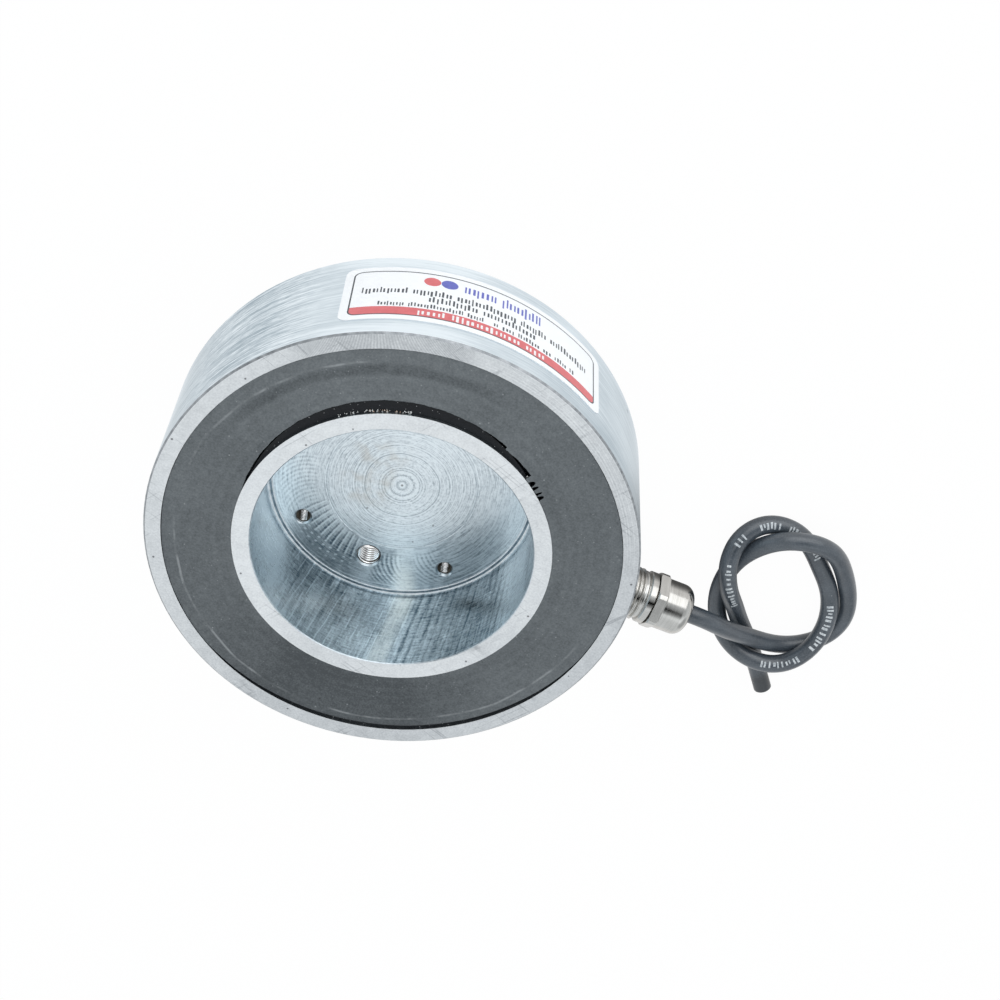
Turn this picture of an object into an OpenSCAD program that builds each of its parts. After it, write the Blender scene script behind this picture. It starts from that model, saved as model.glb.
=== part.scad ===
// Round holding electromagnet of the kind that a robot arm carries as a
// magnetic gripper: a turned steel pot with a hollow centre pole, a potted
// coil in its ring slot, a cable gland in its wall and a knotted free cable.
// Millimetres. The origin is the centre of the mounting face, +Z points out
// of the pole face and +X runs along the cable gland.

/* [Pot] */
// Outer diameter of the steel pot
pot_d = 160; // [156:1:200]
// Height from the mounting face to the pole face
pot_h = 50; // [46:1:70]
// Width of the outer pole ring
rim_w = 5.6; // [4.5:0.1:7]
// Width of the ring slot that holds the coil
slot_w = 22.7; // [18:0.1:26]
// Wall of the hollow centre pole
pole_w = 5.95; // [4:0.05:8]
// Steel left under the coil slot
slot_floor_t = 12; // [8:0.5:14]
// Steel left under the centre recess
recess_floor_t = 11; // [7:0.5:16]
// Chamfer on the pot's outer edges
edge_chamfer = 0.6; // [0.2:0.1:2]
// Chamfer at the mouth of the recess
mouth_chamfer = 0.3; // [0.1:0.1:1]

/* [Relief groove] */
// Width of the groove at the foot of the recess wall
groove_w = 1.6; // [1:0.1:3]
// Depth of that groove below the recess floor
groove_t = 0.8; // [0.4:0.1:2]
// Break on the groove's inner edge
groove_break = 0.25; // [0.1:0.05:0.6]

/* [Tapped holes] */
// Nominal diameter of the two large tapped holes
large_tap_d = 8; // [6:1:10]
// Distance of the large tapped holes in from the recess wall
large_tap_in = 13.75; // [8:0.25:20]
// Nominal diameter of the small tapped holes
small_tap_d = 5; // [4:1:6]
// Distance of the small tapped holes in from the recess wall
small_tap_in = 8.75; // [6:0.25:14]
// Width of the countersink round each tapped hole
countersink_w = 0.6; // [0.2:0.1:1]

/* [Coil] */
// Play between the coil former and the centre pole
former_play = 0.6; // [0.3:0.1:1.5]
// Wall of the coil former
former_t = 1.2; // [0.8:0.1:2]
// Room left outside the coil for its leads
lead_room = 4; // [3.9:0.1:6]
// How far the former's flanges stand out past the tape
flange_lip = 0.3; // [0.1:0.1:0.8]
// Thickness of the insulating tape round the winding
tape_t = 0.6; // [0.3:0.1:1.2]
// Black resin between the coil and the grey face ring
coil_cover = 1; // [0.5:0.1:3]

/* [Resin face] */
// Thickness of the grey face ring
face_t = 3; // [2:0.1:5]
// How far the grey face lies below the steel
face_sink = 0.2; // [0.1:0.05:0.5]
// How far the black resin lies below the steel in the gaps
black_sink = 1.1; // [0.6:0.1:2]
// Widest part of the inner crescent gap
inner_gap = 4.4; // [1:0.1:6]
// Half the angle that the inner gap spans
inner_gap_half = 63; // [40:1:80]
// Widest part of the outer crescent gap
outer_gap = 1.4; // [0.5:0.1:2]
// Half the angle that the outer gap spans
outer_gap_half = 55; // [40:1:80]
// Direction from the axis to the middle of the inner gap
gap_turn = 112; // [0:1:359]

/* [Cable gland] */
// Height of the gland's axis above the mounting face
gland_z = 22; // [20:0.5:32]
// Root diameter of the gland's threaded shank
shank_d = 16.2; // [14.5:0.1:18]
// Length of shank that shows outside the wall
shank_out = 9.4; // [3:0.1:14]
// How far short of the slot the shank ends
shank_short = 0.4; // [0.2:0.1:2]
// Diameter of the gland's collar
collar_d = 18.2; // [17:0.1:22]
// Length of the gland's collar
collar_l = 2.8; // [2:0.1:6]
// Diameter of the thread that carries the dome nut
neck_d = 14.4; // [13.6:0.1:15]
// Length of that threaded neck
neck_l = 6.4; // [5:0.1:9]
// Diameter of the dome nut
nut_d = 17.8; // [17:0.1:21]
// Length of the dome nut
nut_l = 14.1; // [12:0.1:20]
// Rounding of the dome nut's outer end
nut_round = 4; // [2:0.1:5]
// Diameter of the nut's spanner flange
flange_d = 20.2; // [20:0.1:24]
// Length of the nut's spanner flange
flange_l = 3.5; // [2.5:0.1:6]
// Width across the six spanner flats
flats_w = 18.2; // [18:0.1:20]
// Turn of the spanner flats about the gland's axis
flats_turn = 16; // [0:1:59]
// Slit between the collar and the dome nut
nut_slit = 0.2; // [0.1:0.1:1]
// Outside diameter of the rubber seal
seal_d = 11.2; // [9:0.1:12]
// Length of the rubber seal
seal_l = 6; // [4:0.1:7]
// Thickness of the thrust washer between seal and nut
washer_t = 1; // [0.6:0.1:1.5]

/* [Cable] */
// Diameter of the cable's jacket
cable_d = 6.4; // [5:0.1:7]
// Play of the jacket in the metal parts of the gland
cable_play = 0.3; // [0.1:0.05:0.6]
// Diameter of one insulated core
core_d = 2.2; // [1.6:0.1:2.4]
// Gap between the two cores
core_gap = 0.2; // [0.1:0.1:0.6]
// How far the cores show at the cut end
core_show = 0.4; // [0.2:0.1:2]

/* [Splices] */
// Diameter of a sleeved splice
splice_d = 3.4; // [2.8:0.1:3.6]
// Angle at which each splice begins, from the gland
splice_from = 15; // [10:1:20]
// Angle that each splice spans
splice_span = 12; // [8:1:16]
// Diameter of a coil lead
lead_d = 1.6; // [1:0.1:2]
// Angle that each coil lead spans
lead_span = 7; // [4:1:12]
// Bend of the cores where they turn into the slot
core_bend = 2; // [1.8:0.1:3]

/* [Label] */
// Length of the label round the wall
label_w = 91; // [60:1:110]
// Height of the label
label_h = 34; // [20:1:38]
// Height of the label's middle above the mounting face
label_z = 24.4; // [20:0.2:28]
// Thickness of the label
label_t = 0.15; // [0.1:0.01:0.4]
// Thickness of the glue under the label
glue_t = 0.05; // [0.02:0.01:0.1]
// Corner rounding of the label
label_r = 3.5; // [1:0.5:8]

/* [Hidden] */

// Facets of medium, small and large round surfaces, and a hair of overlap
// that keeps cuts clean
$fn = 96;
small_round = 48;
large_round = 180;
eps = 0.01;

zinc = [0.74, 0.79, 0.82];
nickel = [0.80, 0.78, 0.73];
former_white = [0.85, 0.83, 0.76];
copper = [0.72, 0.38, 0.20];
tape_yellow = [0.85, 0.72, 0.25];
resin_black = [0.03, 0.03, 0.035];
resin_grey = [0.29, 0.31, 0.33];
rubber_black = [0.06, 0.06, 0.06];
jacket_grey = [0.17, 0.18, 0.20];
brown = [0.35, 0.17, 0.08];
blue = [0.08, 0.25, 0.65];
sleeve_black = [0.10, 0.10, 0.11];
label_white = [0.95, 0.95, 0.96];

// Pot
pot_r = pot_d / 2;
slot_or = pot_r - rim_w;
pole_or = slot_or - slot_w;
recess_r = pole_or - pole_w;
large_turns = [90, 270];
small_turns = [45, 135, 225, 315];

// Coil and resin, from the slot outwards
face_top = pot_h - face_sink;
face_bottom = face_top - face_t;
black_top = pot_h - black_sink;
coil_top = face_bottom - coil_cover;
former_ir = pole_or + former_play;
former_or = slot_or - lead_room;
tape_or = former_or - flange_lip;
winding_or = tape_or - tape_t;
wind_bottom = slot_floor_t + former_t;
wind_top = coil_top - former_t;
lead_r = (tape_or + slot_or) / 2;

// An off-centre circle cuts a crescent of width w at its middle that runs
// out at half_angle on each side of it, against a ring of radius r.
function crescent_shift(w, half_angle) = w / (1 - cos(half_angle));
inner_shift = crescent_shift(inner_gap, inner_gap_half);
outer_shift = crescent_shift(outer_gap, outer_gap_half);

// Gland, along X from the pot's axis
shank_in = slot_or + shank_short;
collar_x = pot_r + shank_out;
neck_x = collar_x + collar_l;
nut_x = neck_x + nut_slit;
nut_end = nut_x + nut_l;
neck_end = neck_x + neck_l;
seal_proud = 0.8;
seal_end = neck_end + seal_proud;
seal_x = seal_end - seal_l;
washer_end = seal_end + washer_t;
cable_bore_r = cable_d / 2 + cable_play;
gland_break = 0.4;

// Waste that the label's corner cutters take in all round
label_trim = 2;

// Cores and leads in the slot. A core turns about a centre that lies
// core_bend outside the leads' circle. It is a little thicker in its bend,
// which its straight stretches reach into by core_lap.
bend_swell = 0.1;
core_y = (core_d + core_gap) / 2;
bend_turn = asin((core_y + core_bend) / (lead_r + core_bend));
bend_x = (lead_r + core_bend) * cos(bend_turn);
core_lap = 0.1;
bend_lap_turn = core_lap / lead_r * 180 / PI;
lead_from = splice_from + splice_span;
lead_to = lead_from + lead_span;

// Cable route: control points of a smooth cubic curve through both ends,
// along X from the mouth of the gland nut. The cable leaves the gland
// straight, comes down to the surface and is tied in one overhand knot that
// lies flat, with a short tail.
route_from_nut = [
    [-28.5, 0, gland_z], [-21.5, 0, gland_z], [-14, 0, gland_z],
    [-6.5, 0, gland_z], [0.5, 0, gland_z], [8, 0, gland_z],
    [17.5, -4, 17.5], [28, -7.5, 11], [39, -10.5, 6], [49, -8.5, 3.5],
    [56.5, -0.5, 3.5], [58.5, 9.5, 3.5], [54.5, 19, 3.5], [47.5, 28, 5],
    [40, 35.5, 8], [30.5, 37.5, 10.5], [21, 34.5, 10.5], [15, 27.5, 8.5],
    [12, 17.5, 4.5], [11, 7, 3.5], [13.5, -3.5, 3.5], [19, -12, 5],
    [27.5, -16.5, 9], [38, -16.5, 11.5], [46.5, -12, 11.5], [51.5, -2.5, 10],
    [52, 8.5, 7.5], [47.5, 18.5, 4.5], [39.5, 25.5, 4], [31.5, 33, 3.5],
    [22.5, 36, 3.5], [13, 34, 4], [6.5, 26.5, 8], [7, 17, 12],
    [12, 8.5, 13], [18.5, 1, 8], [24.5, -7, 4], [32.5, -14.5, 3],
    [39.5, -22.5, 3.5], [46.5, -31, 3.5]
];
route = [for (p = route_from_nut) p + [nut_end, 0, 0]];
jacket_start = route[0][0];
rings_per_span = 2;
jacket_sides = 12;

// Position on the curve at t, counted in spans from the first point
function held(i) =
    i < 0 ? 2 * route[0] - route[1] :
    i > len(route) - 1 ? 2 * route[len(route) - 1] - route[len(route) - 2] :
    route[i];
function span_of(t) = min(floor(t), len(route) - 2);
function curve_at(t) =
    let (i = span_of(t), u = t - i)
    (pow(1 - u, 3) * held(i - 1)
        + (3 * pow(u, 3) - 6 * pow(u, 2) + 4) * held(i)
        + (-3 * pow(u, 3) + 3 * pow(u, 2) + 3 * u + 1) * held(i + 1)
        + pow(u, 3) * held(i + 2)) / 6;
function unit(v) = v / norm(v);
function heading_at(t) =
    let (i = span_of(t), u = t - i)
    unit(-pow(1 - u, 2) * held(i - 1)
        + (3 * pow(u, 2) - 4 * u) * held(i)
        + (-3 * pow(u, 2) + 2 * u + 1) * held(i + 1)
        + pow(u, 2) * held(i + 2));

// A ring of points round the curve, with its first point to the side
function ring_at(t, r, sides) =
    let (
        centre = curve_at(t),
        ahead = heading_at(t),
        side = unit(cross(ahead, [0, 0, 1])),
        up = cross(side, ahead)
    )
    [for (k = [0 : sides - 1])
        centre + r * (cos(360 * k / sides) * side + sin(360 * k / sides) * up)];

// ---------- shared shapes ----------

// A solid turned about the gland's axis, from a profile of [along, radius]
module gland_turned(profile) {
    translate([0, 0, gland_z])
        rotate([0, 90, 0])
            rotate_extrude()
                polygon([for (p = profile) [p[1], p[0]]]);
}

// A round bar bent about the pot's axis at the gland's height
module slot_bar(d, from, to) {
    translate([0, 0, gland_z])
        rotate([0, 0, from])
            rotate_extrude(angle = to - from)
                translate([lead_r, 0])
                    circle(d = d, $fn = small_round);
}

// The same shapes on the other side of the gland
module on_side(side) {
    if (side > 0)
        children();
    else
        mirror([0, 1, 0])
            children();
}

// A tapped hole through the floor, at the thread's nominal diameter
module tapped_hole(d, distance, turn) {
    rotate([0, 0, turn])
        translate([distance, 0, 0]) {
            translate([0, 0, -eps])
                cylinder(d = d, h = recess_floor_t + 2 * eps, $fn = small_round);
            translate([0, 0, -eps])
                cylinder(
                    d1 = d + 2 * (countersink_w + eps),
                    d2 = d,
                    h = countersink_w + eps,
                    $fn = small_round
                );
            translate([0, 0, recess_floor_t - countersink_w])
                cylinder(
                    d1 = d,
                    d2 = d + 2 * (countersink_w + eps),
                    h = countersink_w + eps,
                    $fn = small_round
                );
        }
}

module ring(inner, outer, bottom, top) {
    translate([0, 0, bottom])
        difference() {
            cylinder(r = outer, h = top - bottom);
            translate([0, 0, -eps])
                cylinder(r = inner, h = top - bottom + 2 * eps);
        }
}

// ---------- steel ----------

module pot_profile() {
    groove_r = recess_r - groove_w;
    groove_z = recess_floor_t - groove_t;
    polygon([
        [0, 0],
        [pot_r - edge_chamfer, 0],
        [pot_r, edge_chamfer],
        [pot_r, pot_h - edge_chamfer],
        [pot_r - edge_chamfer, pot_h],
        [slot_or, pot_h],
        [slot_or, slot_floor_t],
        [pole_or, slot_floor_t],
        [pole_or, pot_h],
        [recess_r + mouth_chamfer, pot_h],
        [recess_r, pot_h - mouth_chamfer],
        [recess_r, groove_z],
        [groove_r, groove_z],
        [groove_r, recess_floor_t - groove_break],
        [groove_r - groove_break, recess_floor_t],
        [0, recess_floor_t]
    ]);
}

module pot_body() {
    color(zinc)
        difference() {
            rotate_extrude($fn = large_round)
                pot_profile();
            for (turn = large_turns)
                tapped_hole(large_tap_d, recess_r - large_tap_in, turn);
            for (turn = small_turns)
                tapped_hole(small_tap_d, recess_r - small_tap_in, turn);
            translate([slot_or - rim_w, 0, gland_z])
                rotate([0, 90, 0])
                    cylinder(d = shank_d, h = 3 * rim_w);
        }
}

// ---------- coil ----------

module coil_former() {
    color(former_white)
        rotate_extrude($fn = large_round)
            polygon([
                [former_ir, slot_floor_t],
                [former_or, slot_floor_t],
                [former_or, wind_bottom],
                [former_ir + former_t, wind_bottom],
                [former_ir + former_t, wind_top],
                [former_or, wind_top],
                [former_or, coil_top],
                [former_ir, coil_top]
            ]);
}

module copper_winding() {
    color(copper)
        ring(former_ir + former_t, winding_or, wind_bottom, wind_top, $fn = large_round);
}

module coil_tape() {
    color(tape_yellow)
        ring(winding_or, tape_or, wind_bottom, wind_top, $fn = large_round);
}

// ---------- cores, splices and leads ----------

// From the jacket's end through the shank, round a bend and along the slot
module core(side) {
    on_side(side) {
        translate([bend_x - core_lap, core_y, gland_z])
            rotate([0, 90, 0])
                cylinder(d = core_d, h = jacket_start - bend_x + core_lap, $fn = small_round);
        translate([bend_x, core_y + core_bend, gland_z])
            rotate([0, 0, 180 + bend_turn])
                rotate_extrude(angle = 90 - bend_turn)
                    translate([core_bend, 0])
                        circle(d = core_d + bend_swell, $fn = small_round);
        slot_bar(core_d, bend_turn - bend_lap_turn, splice_from);
    }
}

module splice(side) {
    on_side(side)
        slot_bar(splice_d, splice_from, lead_from);
}

// Along the slot from the splice, then in to the tape
module lead(side) {
    on_side(side) {
        slot_bar(lead_d, lead_from, lead_to);
        translate([0, 0, gland_z])
            rotate([0, 0, lead_to])
                translate([lead_r, 0, 0])
                    sphere(d = lead_d, $fn = small_round);
        intersection() {
            translate([0, 0, gland_z])
                rotate([0, 0, lead_to])
                    translate([tape_or - tape_t, 0, 0])
                        rotate([0, 90, 0])
                            cylinder(d = lead_d, h = lead_r - tape_or + tape_t, $fn = small_round);
            ring(tape_or, slot_or, wind_bottom, wind_top, $fn = large_round);
        }
    }
}

module core_brown() { color(brown) core(1); }

module core_blue() { color(blue) core(-1); }

module splice_start() { color(sleeve_black) splice(1); }

module splice_end() { color(sleeve_black) splice(-1); }

module lead_start() { color(former_white) lead(1); }

module lead_end() { color(former_white) lead(-1); }

// ---------- resin ----------

module face_ring() {
    color(resin_grey)
        difference() {
            intersection() {
                ring(pole_or, slot_or, face_bottom, face_top, $fn = large_round);
                rotate([0, 0, gap_turn])
                    translate([outer_shift, 0, face_bottom - eps])
                        cylinder(
                            r = slot_or - outer_gap + outer_shift,
                            h = face_t + 2 * eps,
                            $fn = large_round
                        );
            }
            rotate([0, 0, gap_turn])
                translate([inner_shift, 0, face_bottom - eps])
                    cylinder(
                        r = pole_or + inner_gap - inner_shift,
                        h = face_t + 2 * eps,
                        $fn = large_round
                    );
        }
}

// What the cores, splices and leads take up in the resin: a pocket where the
// cores come through the wall, and a channel along the slot on each side
module lead_channel() {
    translate([lead_r - core_d / 2, 0, gland_z])
        rotate([0, 90, 0])
            cylinder(r = cable_bore_r, h = rim_w);
    slot_bar(core_d + bend_swell, -splice_from, splice_from);
    for (side = [1, -1]) {
        splice(side);
        lead(side);
    }
}

module potting_resin() {
    color(resin_black)
        difference() {
            ring(pole_or, slot_or, slot_floor_t, black_top, $fn = large_round);
            ring(former_ir, former_or, slot_floor_t - eps, coil_top, $fn = large_round);
            face_ring();
            lead_channel();
        }
}

// ---------- cable gland ----------

module gland_body() {
    color(nickel)
        gland_turned([
            [shank_in, cable_bore_r],
            [shank_in, shank_d / 2 - gland_break],
            [shank_in + gland_break, shank_d / 2],
            [collar_x, shank_d / 2],
            [collar_x, collar_d / 2 - gland_break],
            [collar_x + gland_break, collar_d / 2],
            [neck_x - gland_break, collar_d / 2],
            [neck_x, collar_d / 2 - gland_break],
            [neck_x, neck_d / 2],
            [neck_end, neck_d / 2],
            [neck_end, seal_d / 2],
            [seal_x, seal_d / 2],
            [seal_x, cable_bore_r]
        ]);
}

module gland_seal() {
    color(rubber_black)
        gland_turned([
            [seal_x, cable_d / 2],
            [seal_x, seal_d / 2],
            [seal_end, seal_d / 2],
            [seal_end, cable_d / 2]
        ]);
}

module gland_washer() {
    color(nickel)
        gland_turned([
            [seal_end, cable_bore_r],
            [seal_end, neck_d / 2],
            [washer_end, neck_d / 2],
            [washer_end, cable_bore_r]
        ]);
}

module nut_outline() {
    mouth_round = 0.8;
    dome_r = nut_d / 2;
    difference() {
        union() {
            translate([0, nut_x])
                square([dome_r, nut_l - nut_round]);
            translate([0, nut_x])
                square([dome_r - nut_round, nut_l]);
            translate([dome_r - nut_round, nut_end - nut_round])
                circle(r = nut_round);
        }
        translate([0, nut_x - eps])
            square([neck_d / 2, washer_end - nut_x + eps]);
        translate([0, nut_x])
            square([cable_bore_r, nut_l + eps]);
        translate([0, nut_end - mouth_round])
            polygon([
                [0, 0],
                [cable_bore_r, 0],
                [cable_bore_r + mouth_round + eps, mouth_round + eps],
                [0, mouth_round + eps]
            ]);
    }
}

module gland_nut() {
    color(nickel)
        translate([0, 0, gland_z])
            rotate([0, 90, 0])
                union() {
                    rotate_extrude()
                        nut_outline();
                    intersection() {
                        rotate_extrude()
                            polygon([
                                [neck_d / 2, nut_x],
                                [flange_d / 2 - gland_break, nut_x],
                                [flange_d / 2, nut_x + gland_break],
                                [flange_d / 2, nut_x + flange_l - gland_break],
                                [flange_d / 2 - gland_break, nut_x + flange_l],
                                [neck_d / 2, nut_x + flange_l]
                            ]);
                        translate([0, 0, nut_x - eps])
                            rotate([0, 0, 90 + flats_turn - 30])
                                cylinder(
                                    d = flats_w / cos(30),
                                    h = flange_l + 2 * eps,
                                    $fn = 6
                                );
                    }
                }
}

// ---------- cable ----------

module cable_jacket() {
    last = (len(route) - 1) * rings_per_span;
    n = jacket_sides;
    points = [for (i = [0 : last])
        each ring_at(i / rings_per_span, cable_d / 2, n)];
    walls = [for (i = [0 : last - 1], k = [0 : n - 1])
        let (a = i * n + k, b = i * n + (k + 1) % n)
        [a, b, b + n, a + n]];
    start_cap = [for (k = [0 : n - 1]) n - 1 - k];
    end_cap = [for (k = [0 : n - 1]) last * n + k];
    color(jacket_grey)
        polyhedron(
            points = points,
            faces = concat(walls, [start_cap], [end_cap])
        );
}

// One core's stub beyond the cut end of the jacket
module cut_core(side) {
    last_t = len(route) - 1;
    tip = curve_at(last_t);
    ahead = heading_at(last_t);
    sideways = unit(cross(ahead, [0, 0, 1]));
    translate(tip + side * core_y * sideways)
        rotate([0, acos(ahead[2]), atan2(ahead[1], ahead[0])])
            cylinder(d = core_d, h = core_show, $fn = small_round);
}

module cut_core_brown() { color(brown) cut_core(1); }

module cut_core_blue() { color(blue) cut_core(-1); }

// ---------- label ----------

// What is trimmed off beyond one rounded corner, with the corner's tip at
// the origin and the label on the side of lower X and Y
module corner_waste(r) {
    difference() {
        translate([-r, -r])
            square(r + label_trim);
        translate([-r, -r])
            circle(r = r, $fn = small_round);
    }
}

module label() {
    half_turn = label_w / pot_d * 180 / PI;
    middle_turn = 90;
    color(label_white)
        difference() {
            translate([0, 0, label_z - label_h / 2])
                rotate([0, 0, middle_turn - half_turn])
                    rotate_extrude(angle = 2 * half_turn, $fn = large_round)
                        translate([pot_r + glue_t, 0])
                            square([label_t, label_h]);
            for (flip_end = [0, 1], flip_edge = [0, 1])
                translate([0, 0, label_z])
                    rotate([0, 0, middle_turn])
                        mirror([0, flip_end, 0])
                            mirror([0, 0, flip_edge])
                                rotate([0, 0, half_turn])
                                    translate([pot_r - label_trim, 0, label_h / 2])
                                        rotate([90, 0, 90])
                                            linear_extrude(height = 2 * label_trim)
                                                corner_waste(label_r);
        }
}

pot_body();
coil_former();
copper_winding();
coil_tape();
lead_start();
lead_end();
splice_start();
splice_end();
core_brown();
core_blue();
potting_resin();
face_ring();
gland_body();
gland_seal();
gland_washer();
gland_nut();
cable_jacket();
cut_core_brown();
cut_core_blue();
label();
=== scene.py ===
import math

import bmesh
import bpy
import numpy as np
from mathutils import Matrix, Vector


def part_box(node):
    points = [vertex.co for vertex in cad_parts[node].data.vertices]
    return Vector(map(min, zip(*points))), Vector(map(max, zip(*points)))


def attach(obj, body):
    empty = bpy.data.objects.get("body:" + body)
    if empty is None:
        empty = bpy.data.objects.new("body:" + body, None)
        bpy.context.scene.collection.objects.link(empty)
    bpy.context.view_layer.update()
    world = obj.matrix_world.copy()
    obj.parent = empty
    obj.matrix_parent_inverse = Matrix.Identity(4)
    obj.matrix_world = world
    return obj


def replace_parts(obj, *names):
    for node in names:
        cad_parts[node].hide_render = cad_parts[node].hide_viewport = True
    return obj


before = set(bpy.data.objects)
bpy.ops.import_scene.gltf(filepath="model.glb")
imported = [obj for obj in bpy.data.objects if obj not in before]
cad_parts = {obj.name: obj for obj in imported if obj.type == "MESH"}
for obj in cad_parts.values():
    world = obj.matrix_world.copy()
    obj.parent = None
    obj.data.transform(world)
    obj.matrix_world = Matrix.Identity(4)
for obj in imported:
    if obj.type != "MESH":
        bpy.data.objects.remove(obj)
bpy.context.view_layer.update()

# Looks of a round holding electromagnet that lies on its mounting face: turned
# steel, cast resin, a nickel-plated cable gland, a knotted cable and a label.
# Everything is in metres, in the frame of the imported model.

MM = 0.001


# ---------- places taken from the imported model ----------

WALL_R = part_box("pot_body")[1][0]
POLE_FACE_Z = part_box("pot_body")[1][2]
SLOT_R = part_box("potting_resin")[1][0]
NUT_MOUTH_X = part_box("gland_nut")[1][0]
GLAND_Z = (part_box("gland_nut")[0][2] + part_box("gland_nut")[1][2]) / 2
RESIN_TOP_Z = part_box("face_ring")[1][2]
RESIN_FOOT_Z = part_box("face_ring")[0][2]
BLACK_TOP_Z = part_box("potting_resin")[1][2]
CABLE_R = 3.2 * MM

# The steel pot, inwards from its wall
POLE_R = 51.7 * MM
RECESS_R = 45.75 * MM
RECESS_FLOOR_Z = 11 * MM
LARGE_TAP_R = 4 * MM
LARGE_TAP_CIRCLE_R = 32 * MM
LARGE_TAP_TURNS = (90, 270)
SMALL_TAP_R = 2.5 * MM
SMALL_TAP_CIRCLE_R = 37 * MM
SMALL_TAP_TURNS = (45, 135, 225, 315)
COUNTERSINK = 0.6 * MM

# The crescents of black resin, each measured from its own middle
GAP_TURN = math.radians(112)
INNER_GAP = 4.6 * MM
INNER_GAP_HALF = math.radians(70)
OUTER_GAP = 1.7 * MM
OUTER_GAP_HALF = math.radians(58)

# The gland's shank
SHANK_R = 8.1 * MM
SHANK_TO_X = 89.4 * MM


# ---------- meshes ----------

def ring_faces(rows, columns, rows_close=True):
    """Quads of a grid of points kept row after row. Its last column runs on
    to its first one, and so does its last row, unless it is left open."""
    row, column = np.meshgrid(
        np.arange(rows if rows_close else rows - 1), np.arange(columns), indexing="ij"
    )
    next_row, next_column = (row + 1) % rows, (column + 1) % columns
    corners = ((row, column), (row, next_column), (next_row, next_column), (next_row, column))
    return np.stack([r * columns + c for r, c in corners], axis=-1).reshape(-1, 4)


def swept_faces(rings, sides):
    """Quads of a tube of rings of points, with one flat face on each end."""
    first, last = list(range(sides)), list(range((rings - 1) * sides, rings * sides))
    return ring_faces(rings, sides, rows_close=False).tolist() + [first[::-1], last]


def round_turn(count):
    """Angles in equal steps once round."""
    return np.linspace(0, 2 * np.pi, count, endpoint=False)


def joined(parts):
    """One list of points and one of faces from several such pairs."""
    points, faces, count = [], [], 0
    for part_points, part_faces in parts:
        part_points = part_points.reshape(-1, 3)
        points.append(part_points)
        faces += [[i + count for i in face] for face in part_faces]
        count += len(part_points)
    return np.concatenate(points), faces


def placed(name, data):
    """A new object that holds the data, linked into the scene."""
    thing = bpy.data.objects.new(name, data)
    bpy.context.scene.collection.objects.link(thing)
    return thing


def finished_piece(name, mesh, finishes, sharp_degrees):
    """A piece with its finishes, attached to the root. It is shaded smooth, apart from edges
    sharper than the angle."""
    for finish in finishes:
        mesh.materials.append(finish)
    mesh.shade_smooth()
    mesh.set_sharp_from_angle(angle=math.radians(sharp_degrees))
    piece = placed(name, mesh)
    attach(piece, "root")
    return piece


def rework(mesh, change):
    """Runs one step of mesh editing on a mesh."""
    work = bmesh.new()
    work.from_mesh(mesh)
    change(work)
    work.to_mesh(mesh)
    work.free()


def new_piece(name, points, faces, finishes, slot, sharp_degrees=35):
    """A piece from points and faces, with its faces turned outwards."""
    mesh = bpy.data.meshes.new(name)
    mesh.from_pydata(np.asarray(points).reshape(-1, 3).tolist(), [], [list(f) for f in faces])
    rework(mesh, lambda work: bmesh.ops.recalc_face_normals(work, faces=work.faces))
    return finished_piece(name, mesh, finishes, sharp_degrees)


def polished_copy(node, name, finishes, sharp_degrees=30):
    """The node's own surface with its loose triangles joined, so that it can
    be shaded round."""
    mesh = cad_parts[node].data.copy()
    mesh.attributes.remove(mesh.attributes["custom_normal"])
    rework(mesh, lambda work: bmesh.ops.remove_doubles(work, verts=work.verts, dist=0.002 * MM))
    mesh.materials.clear()
    piece = finished_piece(name, mesh, finishes, sharp_degrees)
    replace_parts(piece, node)
    return piece


def paint(piece, finish_numbers):
    """Gives each face one of the piece's finishes by its number."""
    piece.data.polygons.foreach_set("material_index", finish_numbers.astype(np.int32))


def on_circle(radius, angle, height):
    """Points at a radius, an angle and a height about the pot's axis."""
    return np.stack([radius * np.cos(angle), radius * np.sin(angle), height + 0 * angle], axis=-1)


def turned(x, y, turn):
    """The point x, y turned about the pot's axis by an angle in radians."""
    return x * np.cos(turn) - y * np.sin(turn), x * np.sin(turn) + y * np.cos(turn)


# ---------- finishes ----------

def math_method(operation, turned_round=False):
    """A method that adds one Math node, for a signal and what it meets."""
    def method(signal, *others):
        values = (*others, signal) if turned_round else (signal, *others)
        return signal.wiring.math(operation, *values)
    return method


class Signal:
    """A number that varies over a surface. Plain arithmetic on signals adds
    Math nodes to the wiring that they belong to."""

    def __init__(self, wiring, socket):
        self.wiring, self.socket = wiring, socket

    __add__ = __radd__ = math_method("ADD")
    __mul__ = __rmul__ = math_method("MULTIPLY")
    __sub__ = math_method("SUBTRACT")
    __rsub__ = math_method("SUBTRACT", turned_round=True)
    sine = math_method("SINE")
    absolute = math_method("ABSOLUTE")
    larger = math_method("MAXIMUM")

    def step(self, low, high, to_low=0, to_high=1):
        """Smoothly from to_low where the signal is low to to_high at high."""
        node = self.wiring.add("ShaderNodeMapRange", interpolation_type="SMOOTHSTEP")
        self.wiring.feed(node.inputs, (self, low, high, to_low, to_high))
        return Signal(self.wiring, node.outputs[0])

    def band(self, middle, half, soft):
        """1 within half of the middle, falling to 0 over the soft width."""
        return (self - middle).absolute().step(half, half + soft, 1, 0)

    def sector(self, middle, half, soft):
        """The band of an angle, with its three numbers in degrees."""
        return self.band(math.radians(middle), math.radians(half), math.radians(soft))


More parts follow.
